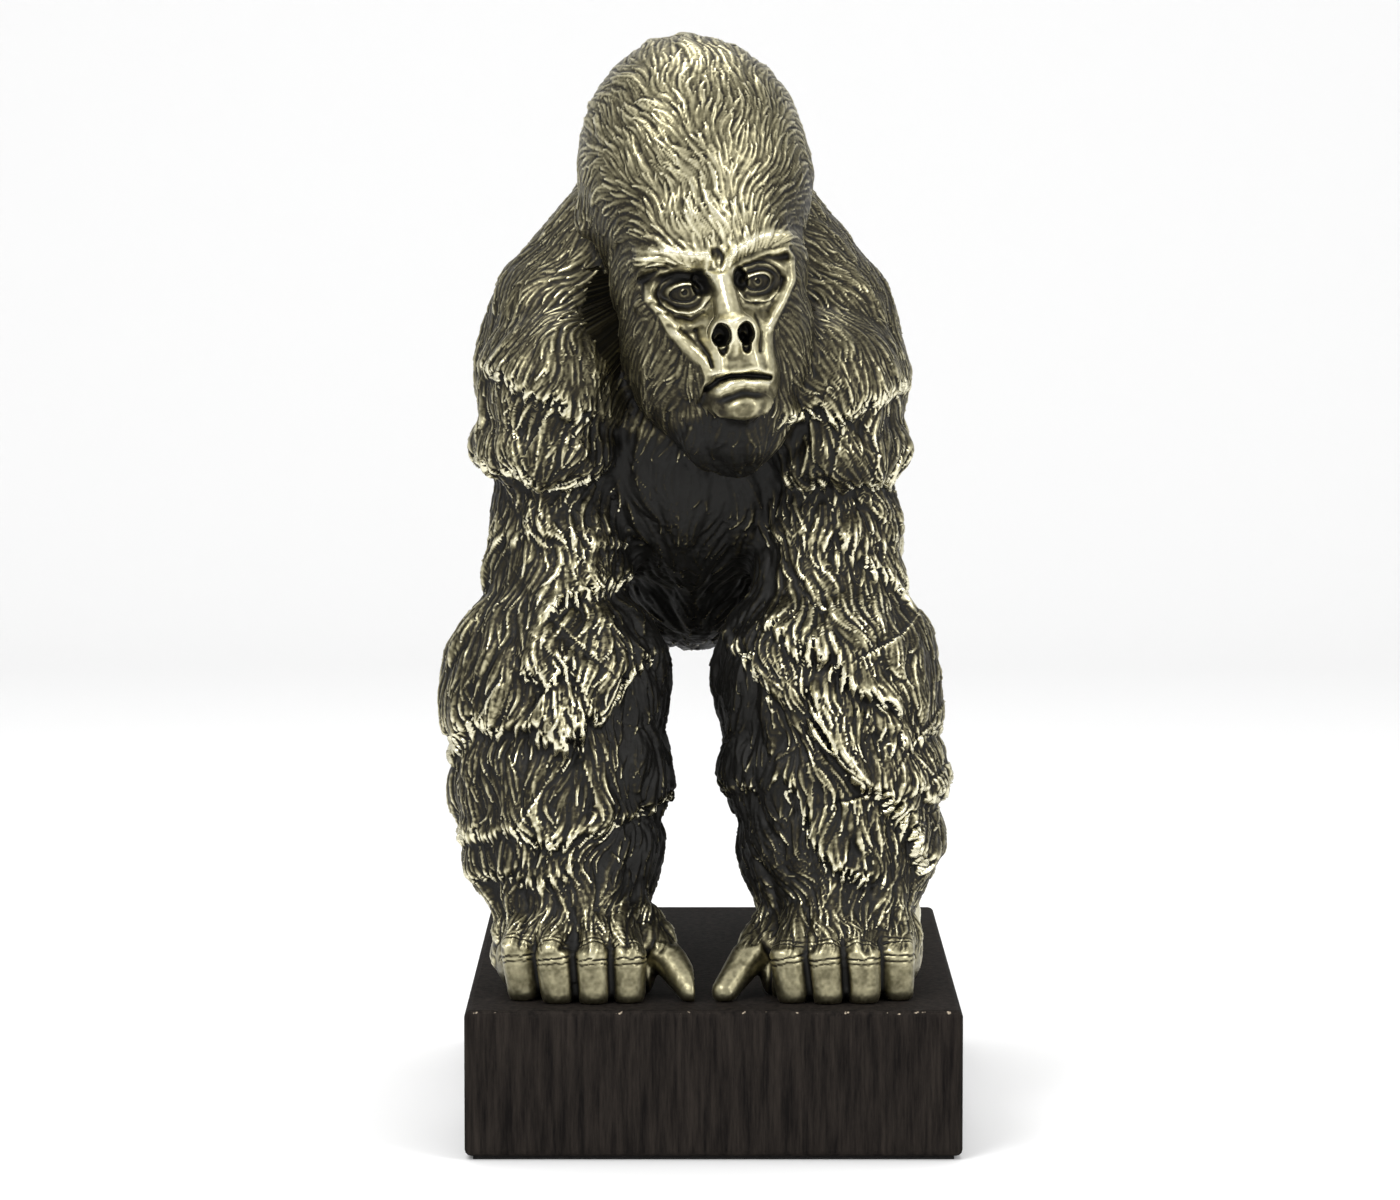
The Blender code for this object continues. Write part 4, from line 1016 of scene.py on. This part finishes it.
# The casting in pieces. A piece's reach is a distance in mm, positive inside it. Neighbours lap
# by a few facets at full height and then dip under each other, so no seam shows

cuts = {
    "waist": plinthTop + 114.0,
    "frontOfLegs": 5.0,
    "wrist": plinthTop + 31.0,
    "faceMargin": 4.0,
    "headCentre": (1, -8, 14),
    "headRadii": (50, 58, 86),
}


def reaches(points):
    local = inHead(points)
    ratio = np.linalg.norm((local - np.array(cuts["headCentre"])) / np.array(cuts["headRadii"]), axis=1)
    insideFace = insideOutline(local[:, (0, 2)], faceOutline)
    return {
        "head": (1 - ratio) * min(cuts["headRadii"]),
        "face": np.minimum(insideFace + cuts["faceMargin"], -24 - local[:, 1]),
        "low": cuts["waist"] - points[:, 2],
        "lowFront": cuts["frontOfLegs"] - points[:, 1],
        "right": midline(200) - points[:, 0],
        "hand": cuts["wrist"] - points[:, 2],
    }


castPieces = {
    # fine facet size in mm, how much its joins are softened, the groups of forms that shape it,
    # and the cuts that bound it
    "gorilla_face": (0.37, 0.8, ("head",), ("head", "face")),
    "gorilla_head": (0.66, 1.0, ("head", "trunk"), ("head", "-face")),
    "gorilla_right_body": (0.80, 1.0, ("trunk", "head", "rightArm", "hindLegs"), ("-head", "-low", "right")),
    "gorilla_left_body": (0.80, 1.0, ("trunk", "head", "leftArm", "hindLegs"), ("-head", "-low", "-right")),
    "gorilla_right_forearm": (0.72, 1.0, ("trunk", "rightArm"), ("low", "lowFront", "right", "-hand")),
    "gorilla_left_forearm": (0.72, 1.0, ("trunk", "leftArm"), ("low", "lowFront", "-right", "-hand")),
    "gorilla_right_hand": (0.56, 0.35, ("rightArm",), ("low", "lowFront", "right", "hand")),
    "gorilla_left_hand": (0.56, 0.35, ("leftArm",), ("low", "lowFront", "-right", "hand")),
    "gorilla_hind_legs": (1.30, 1.0, ("trunk", "hindLegs"), ("low", "-lowFront")),
}
lap = {
    "facets": 2.4,  # how wide the lap between neighbours is, in facets
    "dip": 0.5,  # how far its edge goes under the neighbour
    "rim": 1.4,  # how far the open rim sinks before it is closed
    "coreReach": 90.0,  # how near a rim's middle must be to close it to the core
}
headCore = tuple(headFrame @ Vector((0, -4, 10)))
cores = {
    # points deep inside, from which the whole of an open rim can be seen
    "gorilla_face": headCore,
    "gorilla_head": headCore,
    "gorilla_right_body": tuple(at(-9, 8, 186)),
    "gorilla_left_body": tuple(at(9, 8, 186)),
}
finerFacets = {"turnedBack": 0.3, "behind": 30.0}


def reachOf(points, bounds):
    # how far inside all of a piece's bounds each point is; a minus sign takes the outside of a cut
    found = reaches(points)
    return np.min([-found[name[1:]] if name[0] == "-" else found[name] for name in bounds], axis=0)


def neighbourMean(values, edges, count):
    # for each point, the mean over the points that it shares an edge with
    degree = np.bincount(edges.ravel(), minlength=count)[:, None]
    total = np.empty_like(values)
    for column in range(values.shape[1]):
        total[:, column] = np.bincount(edges[:, 0], values[edges[:, 1], column], count)
        total[:, column] += np.bincount(edges[:, 1], values[edges[:, 0], column], count)
    return total / np.maximum(degree, 1)


def facing(points, normals):
    # where the finer facets go: what looks forwards or sideways on the front of the animal
    return (normals[:, 1] < finerFacets["turnedBack"]) & (points[:, 1] < finerFacets["behind"])


def edgeMiddles(coarse, groups):
    # the fine point in the middle of each side of each coarse quad
    middles = np.empty_like(coarse)
    rows = np.arange(len(coarse))
    for side in range(4):
        spot = (groups == coarse[:, side, None, None]).reshape(len(coarse), 16).argmax(axis=1)
        middles[:, side] = groups[rows, spot // 4, (spot % 4 + 1) % 4]
    return middles


def finerInFront(coarse, points, normals, quads):
    # keeps the fine quads in front and the coarse ones behind, which take in the points between.
    # Gives the corners of all faces in a row, each face's number of corners, edges and open rim
    groups = quads.reshape(-1, 4, 4)
    middles = edgeMiddles(coarse, groups)
    fine = facing(points[coarse].mean(axis=1), normals[coarse].mean(axis=1))
    touched = np.zeros(len(points), bool)
    touched[middles[fine]] = True
    plain = ~fine
    ring = np.stack([coarse[plain], middles[plain]], axis=2).reshape(-1, 8)
    used = np.stack([np.ones_like(coarse[plain], bool), touched[middles[plain]]], axis=2).reshape(-1, 8)
    small = groups[fine].reshape(-1, 4)
    corners = np.concatenate([small.ravel(), ring[used]])
    sizes = np.concatenate([np.full(len(small), 4), used.sum(axis=1)])
    follow = np.where(np.roll(used, -1, axis=1), np.roll(ring, -1, axis=1), np.roll(ring, -2, axis=1))
    pairs = [np.column_stack([ring[used], follow[used]])]
    pairs.extend(small[:, (side, (side + 1) % 4)] for side in range(4))
    pairs = np.concatenate(pairs).astype(np.int64)
    keys = pairs.min(axis=1) * (1 << 32) + pairs.max(axis=1)
    keys, back, counts = np.unique(keys, return_inverse=True, return_counts=True)
    edges = np.column_stack([keys >> 32, keys & 0xFFFFFFFF])
    return corners, sizes, edges, pairs[counts[back] == 1]


def closingCaps(points, rim, core):
    # closes each open rim with a fan: to the core of the piece if that is near, or else to the
    # middle of the rim. Gives the new points and the triangles
    following = {}
    for start, end in rim.tolist():
        following.setdefault(start, []).append(end)
    middles, triangles = [], []
    while following:
        loop = [next(iter(following))]
        while following.get(loop[-1]):
            ends = following[loop[-1]]
            loop.append(ends.pop())
            if not ends:
                del following[loop[-2]]
            if loop[-1] == loop[0]:
                break
        middle = points[loop].mean(axis=0)
        if core and np.linalg.norm(middle - core) < lap["coreReach"]:
            middle = np.array(core)
        index = len(points) + len(middles)
        middles.append(middle)
        triangles.extend((end, start, index) for start, end in zip(loop[:-1], loop[1:]))
    return np.array(middles).reshape(-1, 3), np.array(triangles, int).reshape(-1, 3)


def meshFrom(name, points, corners, sizes):
    # an object from corners in a row and each face's number of them, and which points it uses
    used, corners = np.unique(corners, return_inverse=True)
    mesh = bpy.data.meshes.new(name)
    mesh.vertices.add(len(used))
    mesh.vertices.foreach_set("co", (points[used] * mm).astype(np.float32).ravel())
    mesh.loops.add(len(corners))
    mesh.loops.foreach_set("vertex_index", corners.ravel().astype(np.int32))
    mesh.polygons.add(len(sizes))
    mesh.polygons.foreach_set("loop_start", (np.cumsum(sizes) - sizes).astype(np.int32))
    mesh.update(calc_edges=True)
    made = bpy.data.objects.new(name, mesh)
    bpy.context.scene.collection.objects.link(made)
    return made, used


wearAndShade = {
    # how much each place is rubbed bright, out of 1; ground is everywhere
    "ground": 0.22,
    "arms": 0.11,
    "shoulders": 0.05,
    "brow": 0.40,
    "face": 0.13,
    "hands": 0.30,
    "crown": 0.14,
    # and how much darker each place is left: more patina round the eyes and across the upper arms, and patina
    # with painted shade between the arms, on the sides that face inwards and on the undersides
    "eyes": 0.17,
    "upperArms": 0.15,
    "betweenArms": 0.30,
    "insides": 0.16,
    "undersides": 0.10,
    # for each mm that the form stands out; the tiers' darkening under the hems is patina and painted shade
    "tiers": 0.04,
    "features": 0.075,
    "fingers": 0.16,
    # how far round a ridge its surroundings are averaged, in mm
    "ridgeReach": 2.6,
}


def wornAndShadedShare(points, normals):
    # how much the patina has been rubbed back, less the patina left round the eyes and across the upper arms,
    # and less the patina and painted shade between the arms, on the sides that face inwards and on the
    # undersides
    w = wearAndShade
    local = inHead(points)
    height = points[:, 2] - plinthTop
    offHead = 1 - headCloseness(points)
    share = w["ground"] + w["arms"] * smoothStep(height, 60, 150)
    share += w["shoulders"] * smoothStep(height, 190, 230)
    fromBrow = np.linalg.norm((local - np.array((0, -44, 22))) / np.array((34, 30, 34)), axis=1)
    share += w["brow"] * (1 - np.clip(fromBrow, 0, 1)) + w["face"] * faceShare(local)
    share += w["hands"] * (1 - smoothStep(height, 16, 40))
    share += w["crown"] * smoothStep(local[:, 2], 30, 50) * (1 - offHead)
    for (x, z), _ in eyes:
        fromEye = (local[:, 0] - x) ** 2 / 90 + (local[:, 2] - z - 2) ** 2 / 60
        share -= w["eyes"] * np.exp(-fromEye) * (local[:, 1] < -20)
    share -= w["upperArms"] * smoothStep(height, 165, 180) * (1 - smoothStep(height, 190, 205)) * offHead
    # darker between the arms and on the sides that face inwards: painted shade, with some patina
    fromMiddle = points[:, 0] - midline(200)
    between = (1 - smoothStep(np.abs(fromMiddle), 14, 36)) * (1 - smoothStep(height, 205, 245)) * offHead
    inward = smoothStep(-np.sign(fromMiddle) * normals[:, 0], 0.2, 0.9) * (height < 200)
    share -= (w["betweenArms"] * between + w["insides"] * inward) * smoothStep(height, 26, 52)
    # darker on the undersides that face down: painted shade, with some patina
    return share - w["undersides"] * smoothStep(-normals[:, 2], 0.2, 0.8) * (1 - faceShare(local))


def carve(points, normals, locks, tufts):
    # where the coat, the hems, the face and the fingers move each point, and how worn it is there, with
    # painted shade taken off between the arms, on the insides, on the undersides and under the hems
    furred = 1 - bareShare(points)
    height, lock = lockHeight(points, normals, locks)
    depth = zoneSizes(points)[:, 2]
    tiers = hems(points, lock) + tuftHeight(points, normals, tufts)
    tiers -= 0.4 * tuftSizes["depth"] * (1 - (1 - tuftSizes["headShare"]) * headCloseness(points))
    coat = height + (gridNoise(points, 1.6, 8) * 0.08 - 0.5) * depth + tiers
    fingers = fingerRelief(points)
    forward, relief = shapeFace(points, normals)
    lift = coat * furred + fingers + gridNoise(points, 1.1, 9) * 0.05 * (1 - furred)
    moved = points + forward * relief[:, None] + normals * lift[:, None]
    # darker where the tiers sink under their hems: patina in the hollows, and painted shade under the hems
    worn = wornAndShadedShare(points, normals) + wearAndShade["tiers"] * tiers * furred
    worn += np.clip(relief, -5, 2.5) * wearAndShade["features"] + np.clip(fingers, -1.5, 0) * wearAndShade["fingers"]
    return moved, worn


def castPiece(name, locks, tufts, skins):
    # one piece of the casting, from the skin of its forms to the carved and closed shell
    size, crispness, groups, bounds = castPieces[name]
    key = (size, crispness, groups)
    if key not in skins:
        skins[key] = skinOver(groups, size * 2, crispness)
    points, _, quads = skins[key]
    kept = quads[reachOf(points[quads].mean(axis=1), bounds) > -lap["facets"] * size]
    used, kept = np.unique(kept, return_inverse=True)
    kept = kept.reshape(-1, 4)
    coarse = addObject(name, points[used], kept.tolist())
    finer = coarse.modifiers.new("finer", "SUBSURF")
    finer.levels = finer.render_levels = 1
    points, normals, quads = readMesh(evaluatedMesh(coarse))
    corners, faceSizes, edges, rim = finerInFront(kept, points, normals, quads)
    moved, worn = carve(points, normals, locks, tufts)
    smoothed = moved
    for _ in range(round(wearAndShade["ridgeReach"] / size)):
        smoothed = neighbourMean(smoothed, edges, len(points))
    proud = ((moved - smoothed) * normals).sum(axis=1)
    dip = lap["dip"] * smoothStep(-reachOf(points, bounds), 0.3 * size, lap["facets"] * size)
    moved = moved - normals * dip[:, None]
    onRim = np.unique(rim)
    moved[onRim] -= normals[onRim] * lap["rim"]
    moved[:, 2] = np.maximum(moved[:, 2], soleHeight)
    middles, caps = closingCaps(moved, rim, cores.get(name))
    moved = np.concatenate([moved, middles])
    corners = np.concatenate([corners, caps.ravel()])
    faceSizes = np.concatenate([faceSizes, np.full(len(caps), 3)])
    made, used = meshFrom(name, moved, corners, faceSizes)
    # the worn value also carries painted shade between the arms, on the insides, on the undersides and under
    # the hems
    for label, row in (("proud", proud), ("worn", worn)):
        row = np.pad(row, (0, len(middles)))
        layer = made.data.attributes.new(label, "FLOAT", "POINT")
        layer.data.foreach_set("value", row[used].astype(np.float32))
    made.data.shade_smooth()
    made.data.materials.append(brass)
    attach(made, "root")
    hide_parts("gorilla_casting")
    made.data.calc_loop_triangles()
    print(name, len(made.data.loop_triangles), "triangles")


# Materials


def linear(hexColour):
    channels = [int(hexColour[first:first + 2], 16) / 255 for first in (1, 3, 5)]
    return tuple(c / 12.92 if c < 0.04045 else ((c + 0.055) / 1.055) ** 2.4 for c in channels) + (1.0,)


def addNode(tree, kind, settings=None, inputs=None):
    node = tree.nodes.new(kind)
    for name, value in (settings or {}).items():
        setattr(node, name, value)
    for name, value in (inputs or {}).items():
        if isinstance(value, bpy.types.NodeSocket):
            tree.links.new(value, node.inputs[name])
        else:
            node.inputs[name].default_value = value
    return node


def colourRamp(tree, value, stops):
    ramp = addNode(tree, "ShaderNodeValToRGB", inputs={"Fac": value})
    points = ramp.color_ramp.elements
    while len(points) < len(stops):
        points.new(0.5)
    for point, (place, colour) in zip(points, stops):
        point.position = place
        point.color = linear(colour)
    return ramp.outputs["Color"]


def noise(tree, vector, scale, detail=2.0, roughness=0.5):
    inputs = {"Vector": vector, "Scale": scale, "Detail": detail, "Roughness": roughness}
    return addNode(tree, "ShaderNodeTexNoise", inputs=inputs).outputs["Fac"]


def sums(tree, operation, *values):
    node = addNode(tree, "ShaderNodeMath", {"operation": operation}, dict(enumerate(values)))
    return node.outputs[0]


def remap(tree, value, fromMin, fromMax, toMin=0.0, toMax=1.0):
    inputs = {"Value": value, "From Min": fromMin, "From Max": fromMax, "To Min": toMin, "To Max": toMax}
    return addNode(tree, "ShaderNodeMapRange", inputs=inputs).outputs["Result"]


def newMaterial(name):
    # the material's node tree, its shader's inputs and the place on the object
    made = bpy.data.materials.new(name)
    made.use_nodes = True
    tree = made.node_tree
    where = addNode(tree, "ShaderNodeTexCoord").outputs["Object"]
    return made, tree, tree.nodes["Principled BSDF"].inputs, where


def addBump(tree, surface, height, strength, distance):
    inputs = {"Height": height, "Strength": strength, "Distance": distance * mm}
    tree.links.new(addNode(tree, "ShaderNodeBump", inputs=inputs).outputs["Normal"], surface["Normal"])


brassLook = {
    # from the patina in the hollows to the brightest ridges
    "colours": ((0.10, "#0f0e0b"), (0.32, "#2f2b20"), (0.52, "#6b6650"), (0.76, "#bcb594"), (1.0, "#e4dfc4")),
    "ridgeGain": 1.3,  # brightening for each mm that a ridge stands proud
    "mottle": 0.3,
    "roughness": (0.55, 0.27),
    "patinaMetallic": 0.55,
    "grainSize": 0.45,  # mm
}


def makeBrass():
    # antiqued cast brass: dark sulphide patina left in the hollows, metal rubbed pale on the ridges, and
    # painted shade, carried by the worn value, between the arms, on the insides, on the undersides and under
    # the hems
    look = brassLook
    made, tree, surface, where = newMaterial("antiqued_cast_brass")
    proud, worn = (addNode(tree, "ShaderNodeAttribute", {"attribute_name": name}).outputs["Fac"]
                   for name in ("proud", "worn"))
    mottle = noise(tree, where, 260.0, 4.0)
    mottle = sums(tree, "MULTIPLY_ADD", mottle, look["mottle"], -look["mottle"] / 2)
    # how bright the metal shows: rubbed ridges and wear, less the painted shade that the worn value carries
    rubbedAndShaded = sums(tree, "ADD", sums(tree, "MULTIPLY_ADD", proud, look["ridgeGain"], worn), mottle)
    tree.links.new(colourRamp(tree, rubbedAndShaded, look["colours"]), surface["Base Color"])
    tree.links.new(remap(tree, rubbedAndShaded, 0.0, 1.0, *look["roughness"]), surface["Roughness"])
    tree.links.new(remap(tree, rubbedAndShaded, 0.0, 0.5, look["patinaMetallic"], 1.0), surface["Metallic"])
    addBump(tree, surface, noise(tree, where, 1 / (look["grainSize"] * mm)), 0.25, 0.1)
    return made


woodLook = {
    "grain": ((0.35, "#110f0e"), (0.75, "#2e2925")),
    "worn": "#a39683",
    "chip": 2.0,  # how far the lacquer's chips go from the top front edge, in mm
    "roughness": 0.8,
    "gloss": 0.04,
}


def makeWood():
    # ebonised hardwood: near-black stain with brown grain streaks under a dull lacquer, chipped pale
    # along the top front edge
    look = woodLook
    made, tree, surface, where = newMaterial("ebonised_hardwood")
    stretch = addNode(tree, "ShaderNodeMapping", inputs={"Vector": where, "Scale": (1.0, 1.0, 0.08)})
    grain = noise(tree, stretch.outputs["Vector"], 420.0, 6.0, 0.7)
    place = addNode(tree, "ShaderNodeSeparateXYZ", inputs={"Vector": where}).outputs
    top, front, chip = plinthTop * mm, cadBox[0][1], look["chip"] * mm
    below = remap(tree, place["Z"], top - chip, top)
    behind = remap(tree, place["Y"], front + chip, front)
    edge = sums(tree, "MULTIPLY", below, behind)
    flakes = sums(tree, "MULTIPLY_ADD", edge, 0.75, noise(tree, where, 330.0))
    chipped = colourRamp(tree, flakes, ((0.92, "#000000"), (0.98, "#ffffff")))
    colour = addNode(tree, "ShaderNodeMix", {"data_type": "RGBA"}, {0: chipped})
    tree.links.new(colourRamp(tree, grain, look["grain"]), colour.inputs[6])
    colour.inputs[7].default_value = linear(look["worn"])
    tree.links.new(colour.outputs[2], surface["Base Color"])
    surface["Roughness"].default_value = look["roughness"]
    surface["Specular IOR Level"].default_value = look["gloss"]
    addBump(tree, surface, grain, 0.4, 0.3)
    return made


def makeZinc():
    # zinc-plated steel: pale grey with a slightly cloudy lustre
    made, tree, surface, where = newMaterial("zinc_plated_steel")
    cloud = noise(tree, where, 900.0, 3.0)
    tree.links.new(colourRamp(tree, cloud, ((0.3, "#a8a9a6"), (0.7, "#cfd0cc"))), surface["Base Color"])
    surface["Metallic"].default_value = 1.0
    surface["Roughness"].default_value = 0.35
    return made


def makeBaize():
    # wool baize: a matt black felted nap
    made, tree, surface, where = newMaterial("wool_baize")
    nap = noise(tree, where, 1800.0, 3.0)
    tree.links.new(colourRamp(tree, nap, ((0.3, "#0c0c0c"), (0.8, "#262523"))), surface["Base Color"])
    surface["Roughness"].default_value = 0.95
    addBump(tree, surface, nap, 0.5, 0.3)
    return made


brass = makeBrass()
wood = makeWood()
zinc = makeZinc()
baize = makeBaize()
cadFinishes = {"plinth_block": (wood, "ebonised_wood"), "baize_underlay": (baize, "black_baize")}
for nodeName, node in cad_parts.items():
    if nodeName == "gorilla_casting":
        continue
    finish, slotName = cadFinishes.get(nodeName, (zinc, "zinc_plated_steel"))
    node.data.materials.clear()
    node.data.materials.append(finish)
print("materials made")

coatLocks, coatTufts = makeCoat()
madeSkins = {}
for pieceName in castPieces:
    castPiece(pieceName, coatLocks, coatTufts, madeSkins)
print("casting made")


# Studio: a pale floor that curves up behind, soft lights and the camera

studio = {
    "cameraPlace": (-0.0049, -2.111, 0.3836),
    "cameraPitch": 5.20,  # degrees below level
    "lens": 142.97,
    "floor": "#e9e9e9",
    "worldStrength": 0.85,
}


def makeFloor():
    half, back, bend = 3.0, 1.6, 0.6
    profile = [(-3.0, 0.0), (back, 0.0)]
    for step in range(1, 13):
        angle = math.pi / 2 * step / 12
        profile.append((back + bend * math.sin(angle), bend * (1 - math.cos(angle))))
    profile.append((back + bend, 3.0))
    points = [(x, y, z) for y, z in profile for x in (-half, half)]
    faces = [(2 * row, 2 * row + 1, 2 * row + 3, 2 * row + 2) for row in range(len(profile) - 1)]
    floor = addObject("studio_floor", points, faces)
    floor.data.shade_smooth()
    made, _, surface, _ = newMaterial("painted_studio_floor")
    surface["Base Color"].default_value = linear(studio["floor"])
    surface["Roughness"].default_value = 0.7
    floor.data.materials.append(made)


def addSoftbox(name, place, aim, size, power):
    lamp = bpy.data.lights.new(name, "AREA")
    lamp.shape = "RECTANGLE"
    lamp.size, lamp.size_y = size
    lamp.energy = power
    made = bpy.data.objects.new(name, lamp)
    made.location = place
    made.rotation_euler = (Vector(aim) - Vector(place)).to_track_quat("-Z", "Y").to_euler()
    bpy.context.scene.collection.objects.link(made)


makeFloor()
world = bpy.data.worlds.new("studio")
world.use_nodes = True
world.node_tree.nodes["Background"].inputs["Color"].default_value = (1, 1, 1, 1)
world.node_tree.nodes["Background"].inputs["Strength"].default_value = studio["worldStrength"]
bpy.context.scene.world = world
addSoftbox("keyLight", (-0.9, -1.4, 1.5), (0, 0, 0.22), (0.9, 0.9), 22)
addSoftbox("fillLight", (1.3, -1.1, 0.9), (0, 0, 0.2), (0.8, 1.2), 12)
addSoftbox("topLight", (0.0, 0.2, 1.7), (0, -0.02, 0.2), (1.0, 0.8), 14)

camera = bpy.data.objects.new("camera", bpy.data.cameras.new("camera"))
camera.location = studio["cameraPlace"]
camera.rotation_euler = (math.radians(90 - studio["cameraPitch"]), 0, 0)
camera.data.lens = studio["lens"]
camera.data.sensor_width = 36.0
camera.data.clip_end = 20.0
bpy.context.scene.collection.objects.link(camera)
bpy.context.scene.camera = camera
bpy.context.scene.view_settings.view_transform = "Standard"
